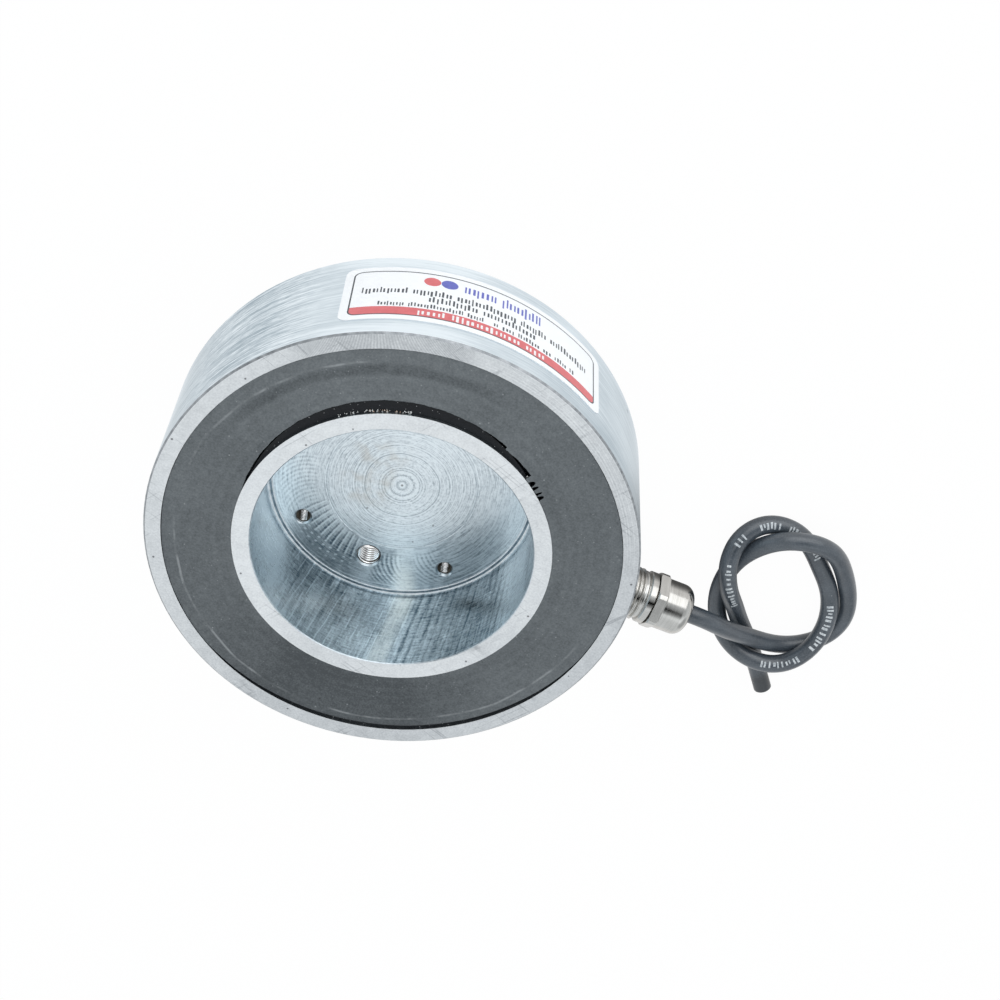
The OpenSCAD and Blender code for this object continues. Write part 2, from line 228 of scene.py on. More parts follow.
class Wiring:
    """A node tree that is built step by step."""

    def __init__(self, tree):
        self.tree = tree

    def add(self, kind, **settings):
        node = self.tree.nodes.new(kind)
        for key, value in settings.items():
            setattr(node, key, value)
        return node

    def feed(self, sockets, values):
        """Links each signal, and sets each number, on the socket it is for."""
        for socket, value in zip(sockets, values):
            if isinstance(value, Signal):
                self.tree.links.new(value.socket, socket)
            else:
                socket.default_value = value

    def feed_named(self, node, **values):
        """Feeds the node's sockets by name, with _ for a space."""
        sockets = [node.inputs[name.replace("_", " ")] for name in values]
        self.feed(sockets, values.values())

    def signal(self, kind, output, values=(), **settings):
        """One output of a new node whose first inputs take the values."""
        node = self.add(kind, **settings)
        self.feed(node.inputs, values)
        return Signal(self, node.outputs[output])

    def math(self, operation, *values):
        return self.signal("ShaderNodeMath", 0, values, operation=operation)

    def vector_math(self, operation, vector, other):
        """A distance or a dot product, which is a plain number."""
        return self.signal("ShaderNodeVectorMath", "Value", (vector, other), operation=operation)

    def where(self, output="Object"):
        """The surface point in metres, or the heading of a ray of light."""
        return self.signal("ShaderNodeTexCoord", output)

    def seen_by(self, ray):
        """1 for one kind of ray, such as Camera, and 0 for the others."""
        return self.signal("ShaderNodeLightPath", f"Is {ray} Ray")

    def shade(self, share, first, second, output):
        """Sends a mix of two shaders, named with their inputs, to the output."""
        shaders = [self.signal(kind, 0, values) for kind, values in (first, second)]
        mix = self.signal("ShaderNodeMixShader", 0, (share, *shaders))
        self.feed(self.add(output).inputs, (mix,))


class Finish(Wiring):
    """One surface finish: a material whose node tree is built step by step.
    Numbers that are the same all over are set on the shader's own sockets."""

    def __init__(self, name, **constants):
        self.material = bpy.data.materials.new(name)
        self.material.use_nodes = True
        super().__init__(self.material.node_tree)
        self.shader = self.tree.nodes["Principled BSDF"]
        self.feed_named(self.shader, **constants)
        if "Anisotropic" in constants:
            # Turning marks run round the upright axis, so gloss spreads across
            tangent = self.signal("ShaderNodeTangent", 0, direction_type="RADIAL", axis="Z")
            self.feed_named(self.shader, Tangent=tangent)

    def along(self, vector=None):
        """The three coordinates of a point as signals."""
        node = self.add("ShaderNodeSeparateXYZ")
        self.feed(node.inputs, (vector or self.where(),))
        return [Signal(self, output) for output in node.outputs]

    def point(self, x, y, z):
        return self.signal("ShaderNodeCombineXYZ", 0, (x, y, z))

    def round_about(self, x_middle=0, y_middle=0):
        """Distance from an upright axis, and the angle round it."""
        x, y, _ = self.along()
        x, y = x - x_middle, y - y_middle
        distance = self.math("SQRT", x * x + y * y)
        return distance, self.math("ARCTAN2", y, x)

    def noise(self, scale, detail=2, roughness=0.5, at=None, **settings):
        """Noise from 0 to 1 at the surface point, or at a signal."""
        node = self.add("ShaderNodeTexNoise", **settings)
        self.feed_named(node, Scale=scale, Detail=detail, Roughness=roughness)
        self.feed([node.inputs["W" if settings else "Vector"]], (at or self.where(),))
        return Signal(self, node.outputs["Fac"])

    def grain_line(self, value, scale, detail=2, roughness=0.5):
        """Noise along one number alone, so that it draws lines."""
        return self.noise(scale, detail, roughness, value, noise_dimensions="1D")

    def specks(self, scale, size, share):
        """Small round dots, one in each random cell, on a share of the cells."""
        node = self.add("ShaderNodeTexVoronoi")
        self.feed_named(node, Vector=self.where(), Scale=scale)
        dots = Signal(self, node.outputs["Distance"]).step(size * 0.6, size, 1, 0)
        red = self.along(Signal(self, node.outputs["Color"]))[0]
        return dots * red.step(share - 0.001, share + 0.001, 1, 0)

    def scratches(self, turn_degrees, scale, width, stretch=40):
        """Thin broken lines that run at one angle across X and Y."""
        mapping = self.add("ShaderNodeMapping")
        rotation = (0, 0, math.radians(turn_degrees))
        self.feed_named(mapping, Vector=self.where(), Rotation=rotation)
        x, y, z = self.along(Signal(self, mapping.outputs[0]))
        lines = self.noise(scale, 1, at=self.point(x * (1 / stretch), y, z))
        return lines.band(0.5, width * 0.4, width)

    def blend(self, share, first, second):
        """A colour between two others, by a signal from 0 to 1."""
        node = self.add("ShaderNodeMix", data_type="RGBA")
        colours = [c if isinstance(c, Signal) else (*c, 1) for c in (first, second)]
        self.feed([node.inputs[index] for index in (0, 6, 7)], (share, *colours))
        return Signal(self, node.outputs[2])

    def layers(self, tone, dark, pale, *marks):
        """The colour from dark to pale by the tone, and over it, one after
        another, each mark: a signal and its colour."""
        colour = self.blend(tone, dark, pale)
        for share, mark in marks:
            colour = self.blend(share, colour, mark)
        return colour

    def done(self, colour, roughness, *reliefs):
        """The material. Each relief is a signal and its height in mm."""
        first, *others = [signal * (height * MM) for signal, height in reliefs]
        height = sum(others, first)
        bump = self.add("ShaderNodeBump")
        self.feed_named(bump, Strength=1, Distance=1, Height=height)
        normal = Signal(self, bump.outputs[0])
        self.feed_named(self.shader, Base_Color=colour, Roughness=roughness, Normal=normal)
        return self.material


ZINC = (0.845, 0.905, 0.935)
ZINC_DULL = (0.3, 0.365, 0.405)
ZINC_SHADE = (0.12, 0.17, 0.21)
GROUND = (0.88, 0.895, 0.9)
GROUND_DULL = (0.44, 0.455, 0.47)
DARK_PIT = (0.1, 0.1, 0.11)
STAIN = (0.5, 0.47, 0.42)
# Colour of the painted highlight streaks on the recess floor and wall
PAINTED_WARM_HIGHLIGHT = (0.86, 0.88, 0.83)


def turned_wall_finish():
    """Zinc plate on a turned wall: short level dashes, strongest on one side, stretches darkened
    with painted shade, soft clouds, paler ends above and below the label that are painted
    highlights, and a few dents."""
    f = Finish("turned_zinc_wall", Metallic=1, Anisotropic=0.5)
    x, y, z = f.along()
    _, angle = f.round_about()
    amount = angle.sector(149, 8, 18) * 0.85 + 0.15
    # Painted shade: darker stretches of the wall at set angles, one of them only near the top.
    dim = angle.sector(157, 10, 14) * 0.28 + angle.sector(47, 8, 14) * 0.15
    dim += angle.sector(58, 12, 12) * 0.2 * z.step(34 * MM, 46 * MM)
    dashes = f.noise(1, 3, 0.6, at=f.point(x * 260, y * 260, z * 1500))
    lines = f.noise(1, 3, 0.65, at=f.point(x * 40, y * 40, z * 1500))
    clouds = f.noise(45, 3)
    dents = f.specks(120, 0.13, 0.05)
    # Painted highlight: the wall is paler near its top and its foot beside the label.
    ends = z.step(41 * MM, 46 * MM).larger(z.step(4 * MM, 9 * MM, 1, 0))
    ends *= angle.sector(109, 8, 17)
    tone = 0.68 + (dashes - 0.5) * amount * 1.6 + (lines - 0.5) * (amount * 2 + 0.6)
    tone = tone + (clouds - 0.5) * 0.4 - dim + ends * 0.3
    colour = f.layers(
        tone, (0.28, 0.372, 0.435), (0.865, 0.945, 0.995), (dents * 0.5, ZINC_SHADE)
    )
    return f.done(
        colour, lines * 0.1 + clouds * 0.08 + 0.25,
        (lines * amount, 0.02), (dashes * amount, 0.03), (dents, -0.08),
    )


def ground_face_finish():
    """The ground pole rings: pale and even, brighter on the inner ring, with
    a few scratches, pits, hairlines, a shaded side and, on one stretch of the
    rim, a fan of cutter marks: lines where (angle from the fan's middle) x
    (1 + 60 (radius - 77 mm)) is the same."""
    f = Finish("ground_pole_face", Metallic=1)
    distance, angle = f.round_about()
    rim = distance.step(60 * MM, 62 * MM)
    clouds = f.noise(48, 3)
    blotches = f.noise(300, 4, 0.7)
    grain = f.noise(1500)
    pits = f.specks(360, 0.17, 0.1)
    some = f.noise(60).step(0.5, 0.62)
    scratches = (f.scratches(20, 170, 0.01) + f.scratches(-55, 140, 0.009)) * some
    hairlines = f.grain_line(distance, 2200)
    hairlines = (hairlines - 0.5) * angle.sector(55, 22, 20)
    fan = (angle - math.radians(114)) * ((distance - 77 * MM) * 60 + 1) * 520
    fan_area = angle.sector(113, 16, 8) * rim
    fan = fan.sine() * fan_area * (blotches * 1.6 - 0.1)
    tone = 0.85 - rim * 0.18 + (clouds - 0.5) * 0.5 + (grain - 0.5) * 0.7 + (blotches - 0.5) * 0.6
    tone = tone + fan * 0.2 - fan_area * 0.34 + hairlines * 0.6 * rim - scratches * 0.34
    # Painted shade: one side of both rings is darker, more so on the outer rim.
    tone -= angle.sector(-40, 62, 45) * (rim * 0.14 + 0.12)
    colour = f.layers(tone, GROUND_DULL, GROUND, (pits * 0.8, DARK_PIT))
    return f.done(
        colour, clouds * 0.12 + grain * 0.08 + 0.28,
        (grain, 0.004), (scratches, -0.01), (fan, 0.006),
    )


def chatter_marks(f, distance, angle, grain):
    """Marks that a springy tool left outside the smooth disc: the sine of
    80 x angle - 0.56 x (radius in mm), as short strokes with dark gaps
    between, which break into dots further out."""
    along = angle * 80 - (distance - 32.4 * MM) * 560 - 10.7 + (grain - 0.5) * 1.8
    columns = along.sine()
    rows = (distance * 3000 + angle * 40).sine()
    dots = rows.step(0, 0.9) * columns.step(0.1, 0.9)
    strokes = columns.step(0.45, 1) * 1.1 - (along + 1.7).sine().step(0.2, 0.9) * 0.7
    outer = distance.step(34.5 * MM, 36.5 * MM)
    marks = strokes * (1 - outer) + (dots * 1.1 - 0.2) * outer
    ends = distance.step(26.2 * MM, 28 * MM) * distance.step(39 * MM, 42 * MM, 1, 0)
    return marks * ends * angle.sector(-120, 18, 8)


def swept_arcs(f, distance, angle, grain):
    """Fine arcs that curve over to one side on their way out: the sine of
    125 x angle - (radius beyond 30 mm / 2.4 mm) squared."""
    lean = (distance - 30 * MM).larger(0) * 417
    arcs = (angle * 125 - lean * lean + (grain - 0.5) * 3).sine()
    places = (angle.sector(-160, 14, 8) * 0.5).larger(angle.sector(-77, 5, 5))
    places = places.larger(angle.sector(-54, 4, 5))
    ends = distance.step(28 * MM, 31 * MM) * distance.step(40 * MM, 42.5 * MM, 1, 0)
    return arcs * places * ends


def faced_floor_finish():
    """The floor of the recess, faced on a lathe: broken rings about the middle with an eye, fine
    lines and a stain, and, outside a smooth disc, chatter marks, fine arcs, a pale warm streak that
    is a painted highlight, and darker stretches that are painted shade."""
    f = Finish("faced_recess_floor", Metallic=1, Anisotropic=0.45)
    true_distance, angle = f.round_about()
    wander = f.noise(70)
    distance = true_distance + (wander - 0.5) * 1.4 * MM
    rings = f.grain_line(distance, 2100, 4, 0.7)
    broken = f.noise(1350, 4, 0.68, at=f.point(angle * 5 * MM, distance, 0))
    streaks = f.noise(1300, 3, 0.6, at=f.point(angle * 3 * MM, distance, 0))
    grain = f.noise(1000, 3, 0.65)
    clouds = f.noise(55, 3)
    eye = (true_distance * 2700 + (grain - 0.5) * 2.5).sine()
    eye *= true_distance.step(5.5 * MM, 7.5 * MM, 1, 0)
    point = true_distance.step(0.2 * MM, 0.6 * MM, 1, 0)
    lines = (
        distance.band(12.7 * MM, 0.1 * MM, 0.25 * MM) * 0.7
        + distance.band(17.9 * MM, 0.1 * MM, 0.25 * MM) * 0.5
        + true_distance.band(25.6 * MM, 0.15 * MM, 0.3 * MM)
    ) * broken.step(0.35, 0.55)
    bright_line = true_distance.band(26.1 * MM, 0.12 * MM, 0.25 * MM) * broken.step(0.42, 0.6)
    outside = true_distance.step(25.8 * MM, 27.5 * MM)
    chatter = chatter_marks(f, true_distance, angle, grain)
    arcs = swept_arcs(f, true_distance, angle, grain)
    # Painted shade: darker stretches of the floor at set angles outside the smooth disc, one of
    # them streaky.
    painted_shade_side = angle.sector(-112, 14, 14) * true_distance.step(28 * MM, 34 * MM) * 0.29
    painted_shade_side += angle.sector(-79, 4, 4) * outside * 0.36
    painted_shade_right = angle.sector(-32, 14, 14) * outside * (streaks.step(0.48, 0.58) * 1.5 - 0.15)
    # Painted highlight: a pale warm streak across the rings.
    light = (angle + (wander - 0.5) * 0.12).sector(-67, 2, 6)
    light = light * true_distance.step(30 * MM, 37 * MM) * (grain * 1.6 - 0.3)
    specks = f.specks(260, 0.13, 0.1)
    x, y, _ = f.along()
    stain = f.noise(150, 3).step(0.4, 0.7)
    stain = stain * (x + 11 * MM).band(0, 4 * MM, 8 * MM) * (y - 1 * MM).band(0, 8 * MM, 9 * MM)
    tone = 0.86 + (rings - 0.5) * (1.8 - outside * 1.1) + (broken - 0.5) * 1.5 + (grain - 0.5) * 0.8
    tone = tone + (clouds - 0.5) * 0.5 + eye * 0.24 - lines * 0.35 + bright_line * 0.3
    tone = tone + arcs * 0.3 + chatter * 0.6 - outside * 0.05 - painted_shade_side - painted_shade_right * 0.24
    pits = (specks * 0.6).larger(point * 0.8)
    marks = ((stain * 0.6, STAIN), (light * 0.4, PAINTED_WARM_HIGHLIGHT), (pits, DARK_PIT))
    colour = f.layers(tone, ZINC_SHADE, ZINC, *marks)
    return f.done(
        colour, rings * 0.12 + 0.24,
        (rings, 0.02), (broken, 0.02), (eye, 0.02), (lines, -0.03), (bright_line, 0.02),
        (chatter, 0.02), (arcs, 0.01),
    )


def bored_wall_finish():
    """The wall of the recess: slanting chatter lines of a boring bar over mottled plate, with
    bright nicks, stretches darkened as painted shade, and pale stretches, a spot and a warm streak
    that are painted highlights."""
    f = Finish("bored_recess_wall", Metallic=1, Anisotropic=0.35)
    x, y, z = f.along()
    _, angle = f.round_about()
    slant = angle * RECESS_R + z * 0.18
    chatter = f.noise(700, 4, 0.7, at=f.point(slant, z * 0.06, 0))
    nicks = f.noise(480, 1, at=f.point(slant, z * 0.07, 0)).step(0.56, 0.63)
    nicks *= f.noise(90).step(0.4, 0.6)
    nicks *= angle.sector(-105, 22, 12)
    cuts = (slant * 2050 + (chatter - 0.5) * 5).sine()
    cuts = cuts.step(0.35, 0.95) * angle.sector(-42, 22, 12)
    grain = f.noise(1000, 3, 0.65)
    scores = f.noise(1, 3, 0.65, at=f.point(x * 200, y * 200, z * 1500))
    clouds = f.noise(60, 3, 0.6)
    # Painted shade: darker stretches of the wall at two angles.
    dark = angle.sector(-110, 12, 16) * z.step(16 * MM, 46 * MM, 0.22, -0.06)
    painted_shade_right = angle.sector(-42, 14, 16) * 0.16
    # Painted highlight: paler stretches of the wall, fading lower down on one side.
    pale = angle.sector(-156, 24, 14) * z.step(30 * MM, 50 * MM, 1, 0.65)
    pale = pale.larger(angle.sector(-8, 6, 8) * 0.7)
    # Painted highlight: a small slanting bright spot partway up the wall.
    painted_highlight_spot = (angle + z * 6).sector(-97, 1, 7) * z.band(28 * MM, 3 * MM, 9 * MM)
    # Painted highlight: a warm streak that slants with the chatter lines.
    painted_highlight_turn = slant - math.radians(-71) * RECESS_R - 5.5 * MM + (clouds - 0.5) * 2 * MM
    light = painted_highlight_turn.band(0, 1.4 * MM, 3.2 * MM)
    dashes = ((angle * RECESS_R + z * 0.24) * 1750 + (clouds - 0.5) * 3).sine().step(0.84, 0.99)
    dashes *= f.noise(170, at=f.point(slant, z * 0.3, 0)).step(0.44, 0.56)
    dashes *= angle.sector(-104, 14, 10)
    pair = slant.band(-56.5 * MM, 0.1 * MM, 0.25 * MM) + slant.band(-54.6 * MM, 0.1 * MM, 0.25 * MM)
    dashes = dashes.larger(pair * chatter.step(0.35, 0.5))
    tone = 0.57 + (chatter - 0.5) * (1.6 - pale) + (scores - 0.5) * 1.2 + (grain - 0.5) * 1.1
    tone = tone + (clouds - 0.5) * 0.5 + nicks * 0.3 + dashes * 0.42 - cuts * 0.22
    tone = tone + pale * 0.5 + painted_highlight_spot * 0.5
    # Painted highlight: a lighter patch higher up at one angle.
    tone += angle.sector(-53, 5, 8) * z.step(24 * MM, 40 * MM) * 0.16
    light *= chatter + grain * 0.6 - 0.4
    tone = tone - dark - painted_shade_right
    colour = f.layers(tone, (0.11, 0.165, 0.205), (0.81, 0.915, 0.965), (light, PAINTED_WARM_HIGHLIGHT))
    return f.done(
        colour, scores * 0.14 + 0.22,
        (chatter, 0.05), (nicks + dashes, 0.03), (cuts, -0.03), (scores, 0.012),
    )


def dark_edge_finish():
    """The broken outer edge: its small chamfer is darkened with painted shade."""
    f = Finish("dark_outer_edge", Metallic=0.9)
    grain = f.noise(420, 3)
    colour = f.blend(grain.step(0.2, 0.8), (0.22, 0.235, 0.25), (0.48, 0.5, 0.52))
    return f.done(colour, grain * 0.1 + 0.45, (grain, 0.005))


def plain_steel_finish():
    """Steel that hardly shows: chamfers, holes and the mounting face."""
    f = Finish("plain_zinc", Metallic=1)
    grain = f.noise(900)
    return f.done(f.blend(grain, ZINC_DULL, ZINC), grain * 0.15 + 0.25, (grain, 0.003))


def nickel_finish():
    """Bright nickel plate over turned brass, with faint level turning lines."""
    f = Finish("bright_nickel", Metallic=1)
    x, y, z = f.along()
    lines = f.noise(1, at=f.point(x * 2400, y * 30, z * 30))
    clouds = f.noise(200, 4, 0.65)
    tone = (clouds - 0.5) * 0.9 + (lines - 0.5) * 1.2 + 0.5
    colour = f.blend(tone, (0.44, 0.43, 0.41), (0.64, 0.63, 0.605))
    return f.done(colour, lines * 0.08 + clouds * 0.1 + 0.1, (lines, 0.002), (clouds, 0.005))


def grey_resin_finish():
    """The faced grey resin: matt and mottled, with one broken pale line near the rim, a dim band
    inside that line, a darker side in painted shade, a slightly paler side in painted light, dust
    and pinholes."""
    f = Finish("grey_casting_resin", Specular_IOR_Level=0.45)
    distance, angle = f.round_about()
    rings = f.grain_line(distance, 300)
    clouds = f.noise(48, 4, 0.6)
    mottle = f.noise(380, 4, 0.7)
    grain = f.noise(1500, 3, 0.7)
    along_rim = f.point(angle.sine() * 0.07, (angle + 1.5708).sine() * 0.07, 0)
    wander = f.noise(45, at=along_rim)
    shown = f.noise(90, 3, at=along_rim).step(0.42, 0.62)
    line = (distance + (wander - 0.5) * 2.6 * MM).band(70 * MM, 0.1 * MM, 0.5 * MM)
    stretches = angle.sector(147, 26, 6).larger(angle.sector(-131, 32, 5))
    stretches = stretches.larger(angle.sector(-47, 36, 5))
    line = line * (shown * 0.8 + 0.12) * stretches
    dim_band = (distance + (wander - 0.5) * 2 * MM).band(67.3 * MM, 0.8 * MM, 1.8 * MM)
    dim_band *= angle.sector(120, 26, 22)
    # Painted shade: one side of the ring is darker.
    painted_shade_side = angle.sector(-85, 15, 40)
    dust_cells = f.specks(420, 0.14, 0.1)
    fine_dust = f.specks(800, 0.2, 0.14)
    holes = f.specks(160, 0.09, 0.05)
    # Painted light: the opposite side is a little paler.
    painted_light_side = angle.sector(110, 25, 35)
    tone = 0.48 + (clouds - 0.5) * 0.5 + (rings - 0.5) * 0.3 - painted_shade_side * 0.36 + painted_light_side * 0.08
    tone = tone + (mottle - 0.5) * 0.5 + (grain - 0.5) * 1.1 - dim_band * 0.28
    colour = f.layers(
        tone, (0.04, 0.047, 0.052), (0.16, 0.177, 0.186),
        (line * 0.5, (0.36, 0.38, 0.39)),
        (dust_cells * 0.45 + fine_dust * 0.35, (0.34, 0.36, 0.37)),
        (holes * 0.8, (0.012, 0.012, 0.013)),
    )
    return f.done(
        colour, grain * 0.2 + 0.46,
        (grain, 0.02), (mottle, 0.015), (line, 0.04), (dim_band, -0.1),
    )


def black_resin_finish():
    """The black casting resin in the gaps: dull and lumpy, with fine dust."""
    f = Finish("black_casting_resin", Specular_IOR_Level=0.25)
    lumps = f.noise(420, 4, 0.7)
    fine = f.noise(1500)
    dust = f.specks(700, 0.15, 0.16) + f.specks(1300, 0.2, 0.2)
    colour = f.blend(dust, (0.005, 0.006, 0.008), (0.26, 0.265, 0.265))
    return f.done(colour, lumps * 0.4 + 0.18, (lumps, 0.45), (fine, 0.1))


# Where the cable's cut end lies, along X and Y
CABLE_END = (154.5 * MM, -32.5 * MM)


def sheath_finish():
    """The cable's soft grey-black sheath: satin and finely grained, dusty in places, and darker
    near its cut end with painted shade."""
    f = Finish("cable_sheath", Specular_IOR_Level=0.75, Coat_Weight=0.45, Coat_Roughness=0.22)
    from_end, _ = f.round_about(*CABLE_END)
    # Painted shade: the sheath darkens towards its cut end.
    painted_shade_near_end = from_end.band(0, 7.5 * MM, 5 * MM)
    clouds = f.noise(110, 3)
    grain = f.noise(2200)
    dust = f.specks(520, 0.1, 0.05)
    colour = f.layers(
        clouds.step(0.3, 0.75), (0.024, 0.033, 0.044), (0.047, 0.06, 0.075),
        (grain.step(0.42, 0.7) * 0.22, (0.16, 0.18, 0.2)),
        (painted_shade_near_end * 0.75, (0.006, 0.007, 0.008)),
        (dust * 0.6, (0.5, 0.51, 0.53)),
    )
    return f.done(
        colour, clouds * 0.12 + grain * 0.06 + painted_shade_near_end * 0.2 + 0.3,
        (grain, 0.03), (clouds, 0.03),
    )


def plain(name, dark, pale, rough, grain_scale=700, relief=0.01, **constants):
    """A finish of one colour with a fine grain: tone, gloss and relief."""
    f = Finish(name, **constants)
    grain = f.noise(grain_scale, 3)
    return f.done(f.blend(grain.step(0.3, 0.7), dark, pale), grain * 0.12 + rough, (grain, relief))


turned_wall = turned_wall_finish()
ground_face = ground_face_finish()
faced_floor = faced_floor_finish()
bored_wall = bored_wall_finish()
plain_steel = plain_steel_finish()
dark_edge = dark_edge_finish()
nickel = nickel_finish()
grey_resin = grey_resin_finish()
black_resin = black_resin_finish()
sheath = sheath_finish()
film_white = plain(
    "label_film", (0.865, 0.875, 0.885), (0.885, 0.895, 0.905), 0.28, 260, 0.002
)
ink_grey = plain("dark_grey_ink", (0.035, 0.043, 0.055), (0.055, 0.064, 0.078), 0.35)
ink_red = plain("red_ink", (0.62, 0.115, 0.125), (0.68, 0.14, 0.15), 0.32, 400, 0.002)
ink_blue = plain("blue_ink", (0.085, 0.1, 0.42), (0.11, 0.13, 0.5), 0.32)
ink_white = plain("white_ink", (0.8, 0.8, 0.8), (0.86, 0.86, 0.86), 0.35)
chip_white = plain("white_chips", (0.45, 0.46, 0.45), (0.75, 0.76, 0.75), 0.3, 1500)
chip_rust = plain("rusty_chips", (0.3, 0.2, 0.14), (0.6, 0.5, 0.42), 0.35, 1500)
# Painted shade: dark brownish steel for the walls of the tapped holes and the shaded thread flanks.
hole_steel = plain(
    "dark_hole", (0.05, 0.042, 0.032), (0.13, 0.115, 0.09), 0.45, Metallic=0.6
)
thread_steel = plain(
    "bright_thread", (0.93, 0.95, 0.96), (1, 1, 1), 0.16, Metallic=1
)
# Painted highlight: a near-white, mostly unmetallic finish for the two bright lips at the recess's
# foot.
foot_steel = plain(
    "bright_foot", (0.72, 0.79, 0.83), (0.95, 0.98, 1), 0.25, 500, Metallic=0.1
)
# Painted shade: the groove between those lips.
foot_shade = plain(
    "shaded_foot", (0.14, 0.19, 0.23), (0.3, 0.37, 0.42), 0.3, 500, Metallic=0.8
)
print_pale = plain("cable_print", (0.3, 0.33, 0.35), (0.58, 0.61, 0.63), 0.45, 1600)
rubber = plain("seal_rubber", (0.012, 0.012, 0.013), (0.022, 0.022, 0.024), 0.55)
brown_core = plain("brown_core", (0.16, 0.045, 0.022), (0.22, 0.065, 0.03), 0.4)
blue_core = plain("blue_core", (0.02, 0.09, 0.36), (0.03, 0.12, 0.44), 0.4)
copper = plain("bare_copper", (0.62, 0.25, 0.13), (0.8, 0.36, 0.22), 0.25, Metallic=1)
winding = plain(
    "enamelled_copper", (0.42, 0.14, 0.05), (0.56, 0.2, 0.08), 0.25, 1800, Metallic=0.8
)
former = plain("coil_former", (0.66, 0.63, 0.54), (0.74, 0.71, 0.62), 0.5)
tape = plain("coil_tape", (0.62, 0.42, 0.05), (0.72, 0.52, 0.09), 0.35)
lead_sleeve = plain("lead_insulation", (0.62, 0.6, 0.55), (0.72, 0.7, 0.65), 0.5)
splice_sleeve = plain("shrunk_sleeve", (0.015, 0.015, 0.016), (0.028, 0.028, 0.03), 0.45)


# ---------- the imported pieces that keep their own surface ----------

for node, finish in {
    "coil_former": former,
    "copper_winding": winding,
    "coil_tape": tape,
    "lead_start": lead_sleeve,
    "lead_end": lead_sleeve,
    "splice_start": splice_sleeve,
    "splice_end": splice_sleeve,
    "core_brown": brown_core,
    "core_blue": blue_core,
    "cut_core_brown": brown_core,
    "cut_core_blue": blue_core,
    "gland_seal": rubber,
    "gland_washer": nickel,
}.items():
    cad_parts[node].data.materials.clear()
    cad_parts[node].data.materials.append(finish)


# ---------- camera ----------

CAMERA_AT = Vector((-86.1, 349.7, 552.8)) * MM
CAMERA_AIM = Vector((23.84, 33.13, 50.0)) * MM
CAMERA_ROLL = math.radians(-175.15)
CAMERA_LENS = 69.21
CAMERA_SENSOR = 36.0
CAMERA_NEAR = 10 * MM


def place_camera():
    """Looks from above the labelled side, held nearly upside down, so that
    the labelled side is at the top of the picture."""
    lens = bpy.data.cameras.new("view")
    lens.lens, lens.sensor_width, lens.clip_start = CAMERA_LENS, CAMERA_SENSOR, CAMERA_NEAR
    camera = placed("view", lens)
    level = (CAMERA_AIM - CAMERA_AT).to_track_quat("-Z", "Y").to_matrix().to_4x4()
    roll = Matrix.Rotation(CAMERA_ROLL, 4, "Z")
    camera.matrix_world = Matrix.Translation(CAMERA_AT) @ level @ roll
    bpy.context.scene.camera = camera


place_camera()


# ---------- cable ----------

# Control points in mm along X from the mouth of the gland nut, and up from
# the surface: out of the gland, down, and one loose overhand knot.
OUT_OF_GLAND = [-28.5, -21.5, -14, -6.5, 0.5, 8]
KNOT = [
    (17.5, -4, 17.5), (28, -7.5, 11), (39, -10.5, 6), (49, -8.5, 3.5),
    (56.5, -0.5, 3.5), (58.5, 9.5, 3.5), (54.5, 19, 3.5), (47.5, 28, 5),
    (40, 35.5, 8), (30.5, 37.5, 10.5), (21, 34.5, 10.5), (15, 27.5, 8.5),
    (12, 17.5, 4.5), (11, 7, 3.5), (13.5, -3.5, 3.5), (19, -12, 5),
    (27.5, -16.5, 9), (38, -16.5, 11.5), (46.5, -12, 11.5), (51.5, -2.5, 10),
    (52, 8.5, 7.5), (47.5, 18.5, 4.5), (39.5, 25.5, 4), (31.5, 33, 3.5),
    (22.5, 36, 3.5), (13, 34, 4), (6.5, 26.5, 8), (7, 17, 12),
    (12, 8.5, 13), (18.5, 1, 8), (24.5, -7, 4), (32.5, -14.5, 3),
    (39.5, -22.5, 3.5), (46.5, -31, 3.5),
]
ROUTE = np.array([(x, 0, GLAND_Z / MM) for x in OUT_OF_GLAND] + KNOT) * MM
ROUTE[:, 0] += NUT_MOUTH_X
ROUTE_END = len(ROUTE) - 1
CORE_Y = 1.2 * MM
CORE_SHOW = 0.4 * MM
STRAND_R = 0.11 * MM


def cable_line(t):
    """Places on the cable's middle line and its headings, at t spans from its
    start: a uniform cubic B-spline over the control points, with one more
    point mirrored through each end so that the curve reaches the ends."""
    held = np.vstack([2 * ROUTE[0] - ROUTE[1], ROUTE, 2 * ROUTE[-1] - ROUTE[-2]])
    span = np.minimum(np.floor(t).astype(int), ROUTE_END - 1)
    u = (t - span)[:, None]
    a, b, c, d = (held[span + k] for k in range(4))
    place = (
        (1 - u) ** 3 * a
        + (3 * u**3 - 6 * u**2 + 4) * b
        + (-3 * u**3 + 3 * u**2 + 3 * u + 1) * c
        + u**3 * d
    ) / 6
    heading = -((1 - u) ** 2) * a + (3 * u**2 - 4 * u) * b + (-3 * u**2 + 2 * u + 1) * c + u**2 * d
    return place, heading / np.linalg.norm(heading, axis=1)[:, None]


def cable_frames(t):
    """For each t, the place, the level direction square to the heading, and
    the direction square to both."""
    place, heading = cable_line(t)
    side = np.cross(heading, (0, 0, 1))
    side /= np.linalg.norm(side, axis=1)[:, None]
    return place, side, np.cross(side, heading)


def cable_skin(t, turn, radius):
    """Points at a turn round the cable: place + radius (cos turn side + sin
    turn up), one row of turns for each t."""
    place, side, up = cable_frames(t)
    around = np.cos(turn)[..., None] * side[:, None] + np.sin(turn)[..., None] * up[:, None]
    return place[:, None] + np.asarray(radius)[..., None] * around


SHEATH_SIDES = 32
RINGS_PER_SPAN = 10


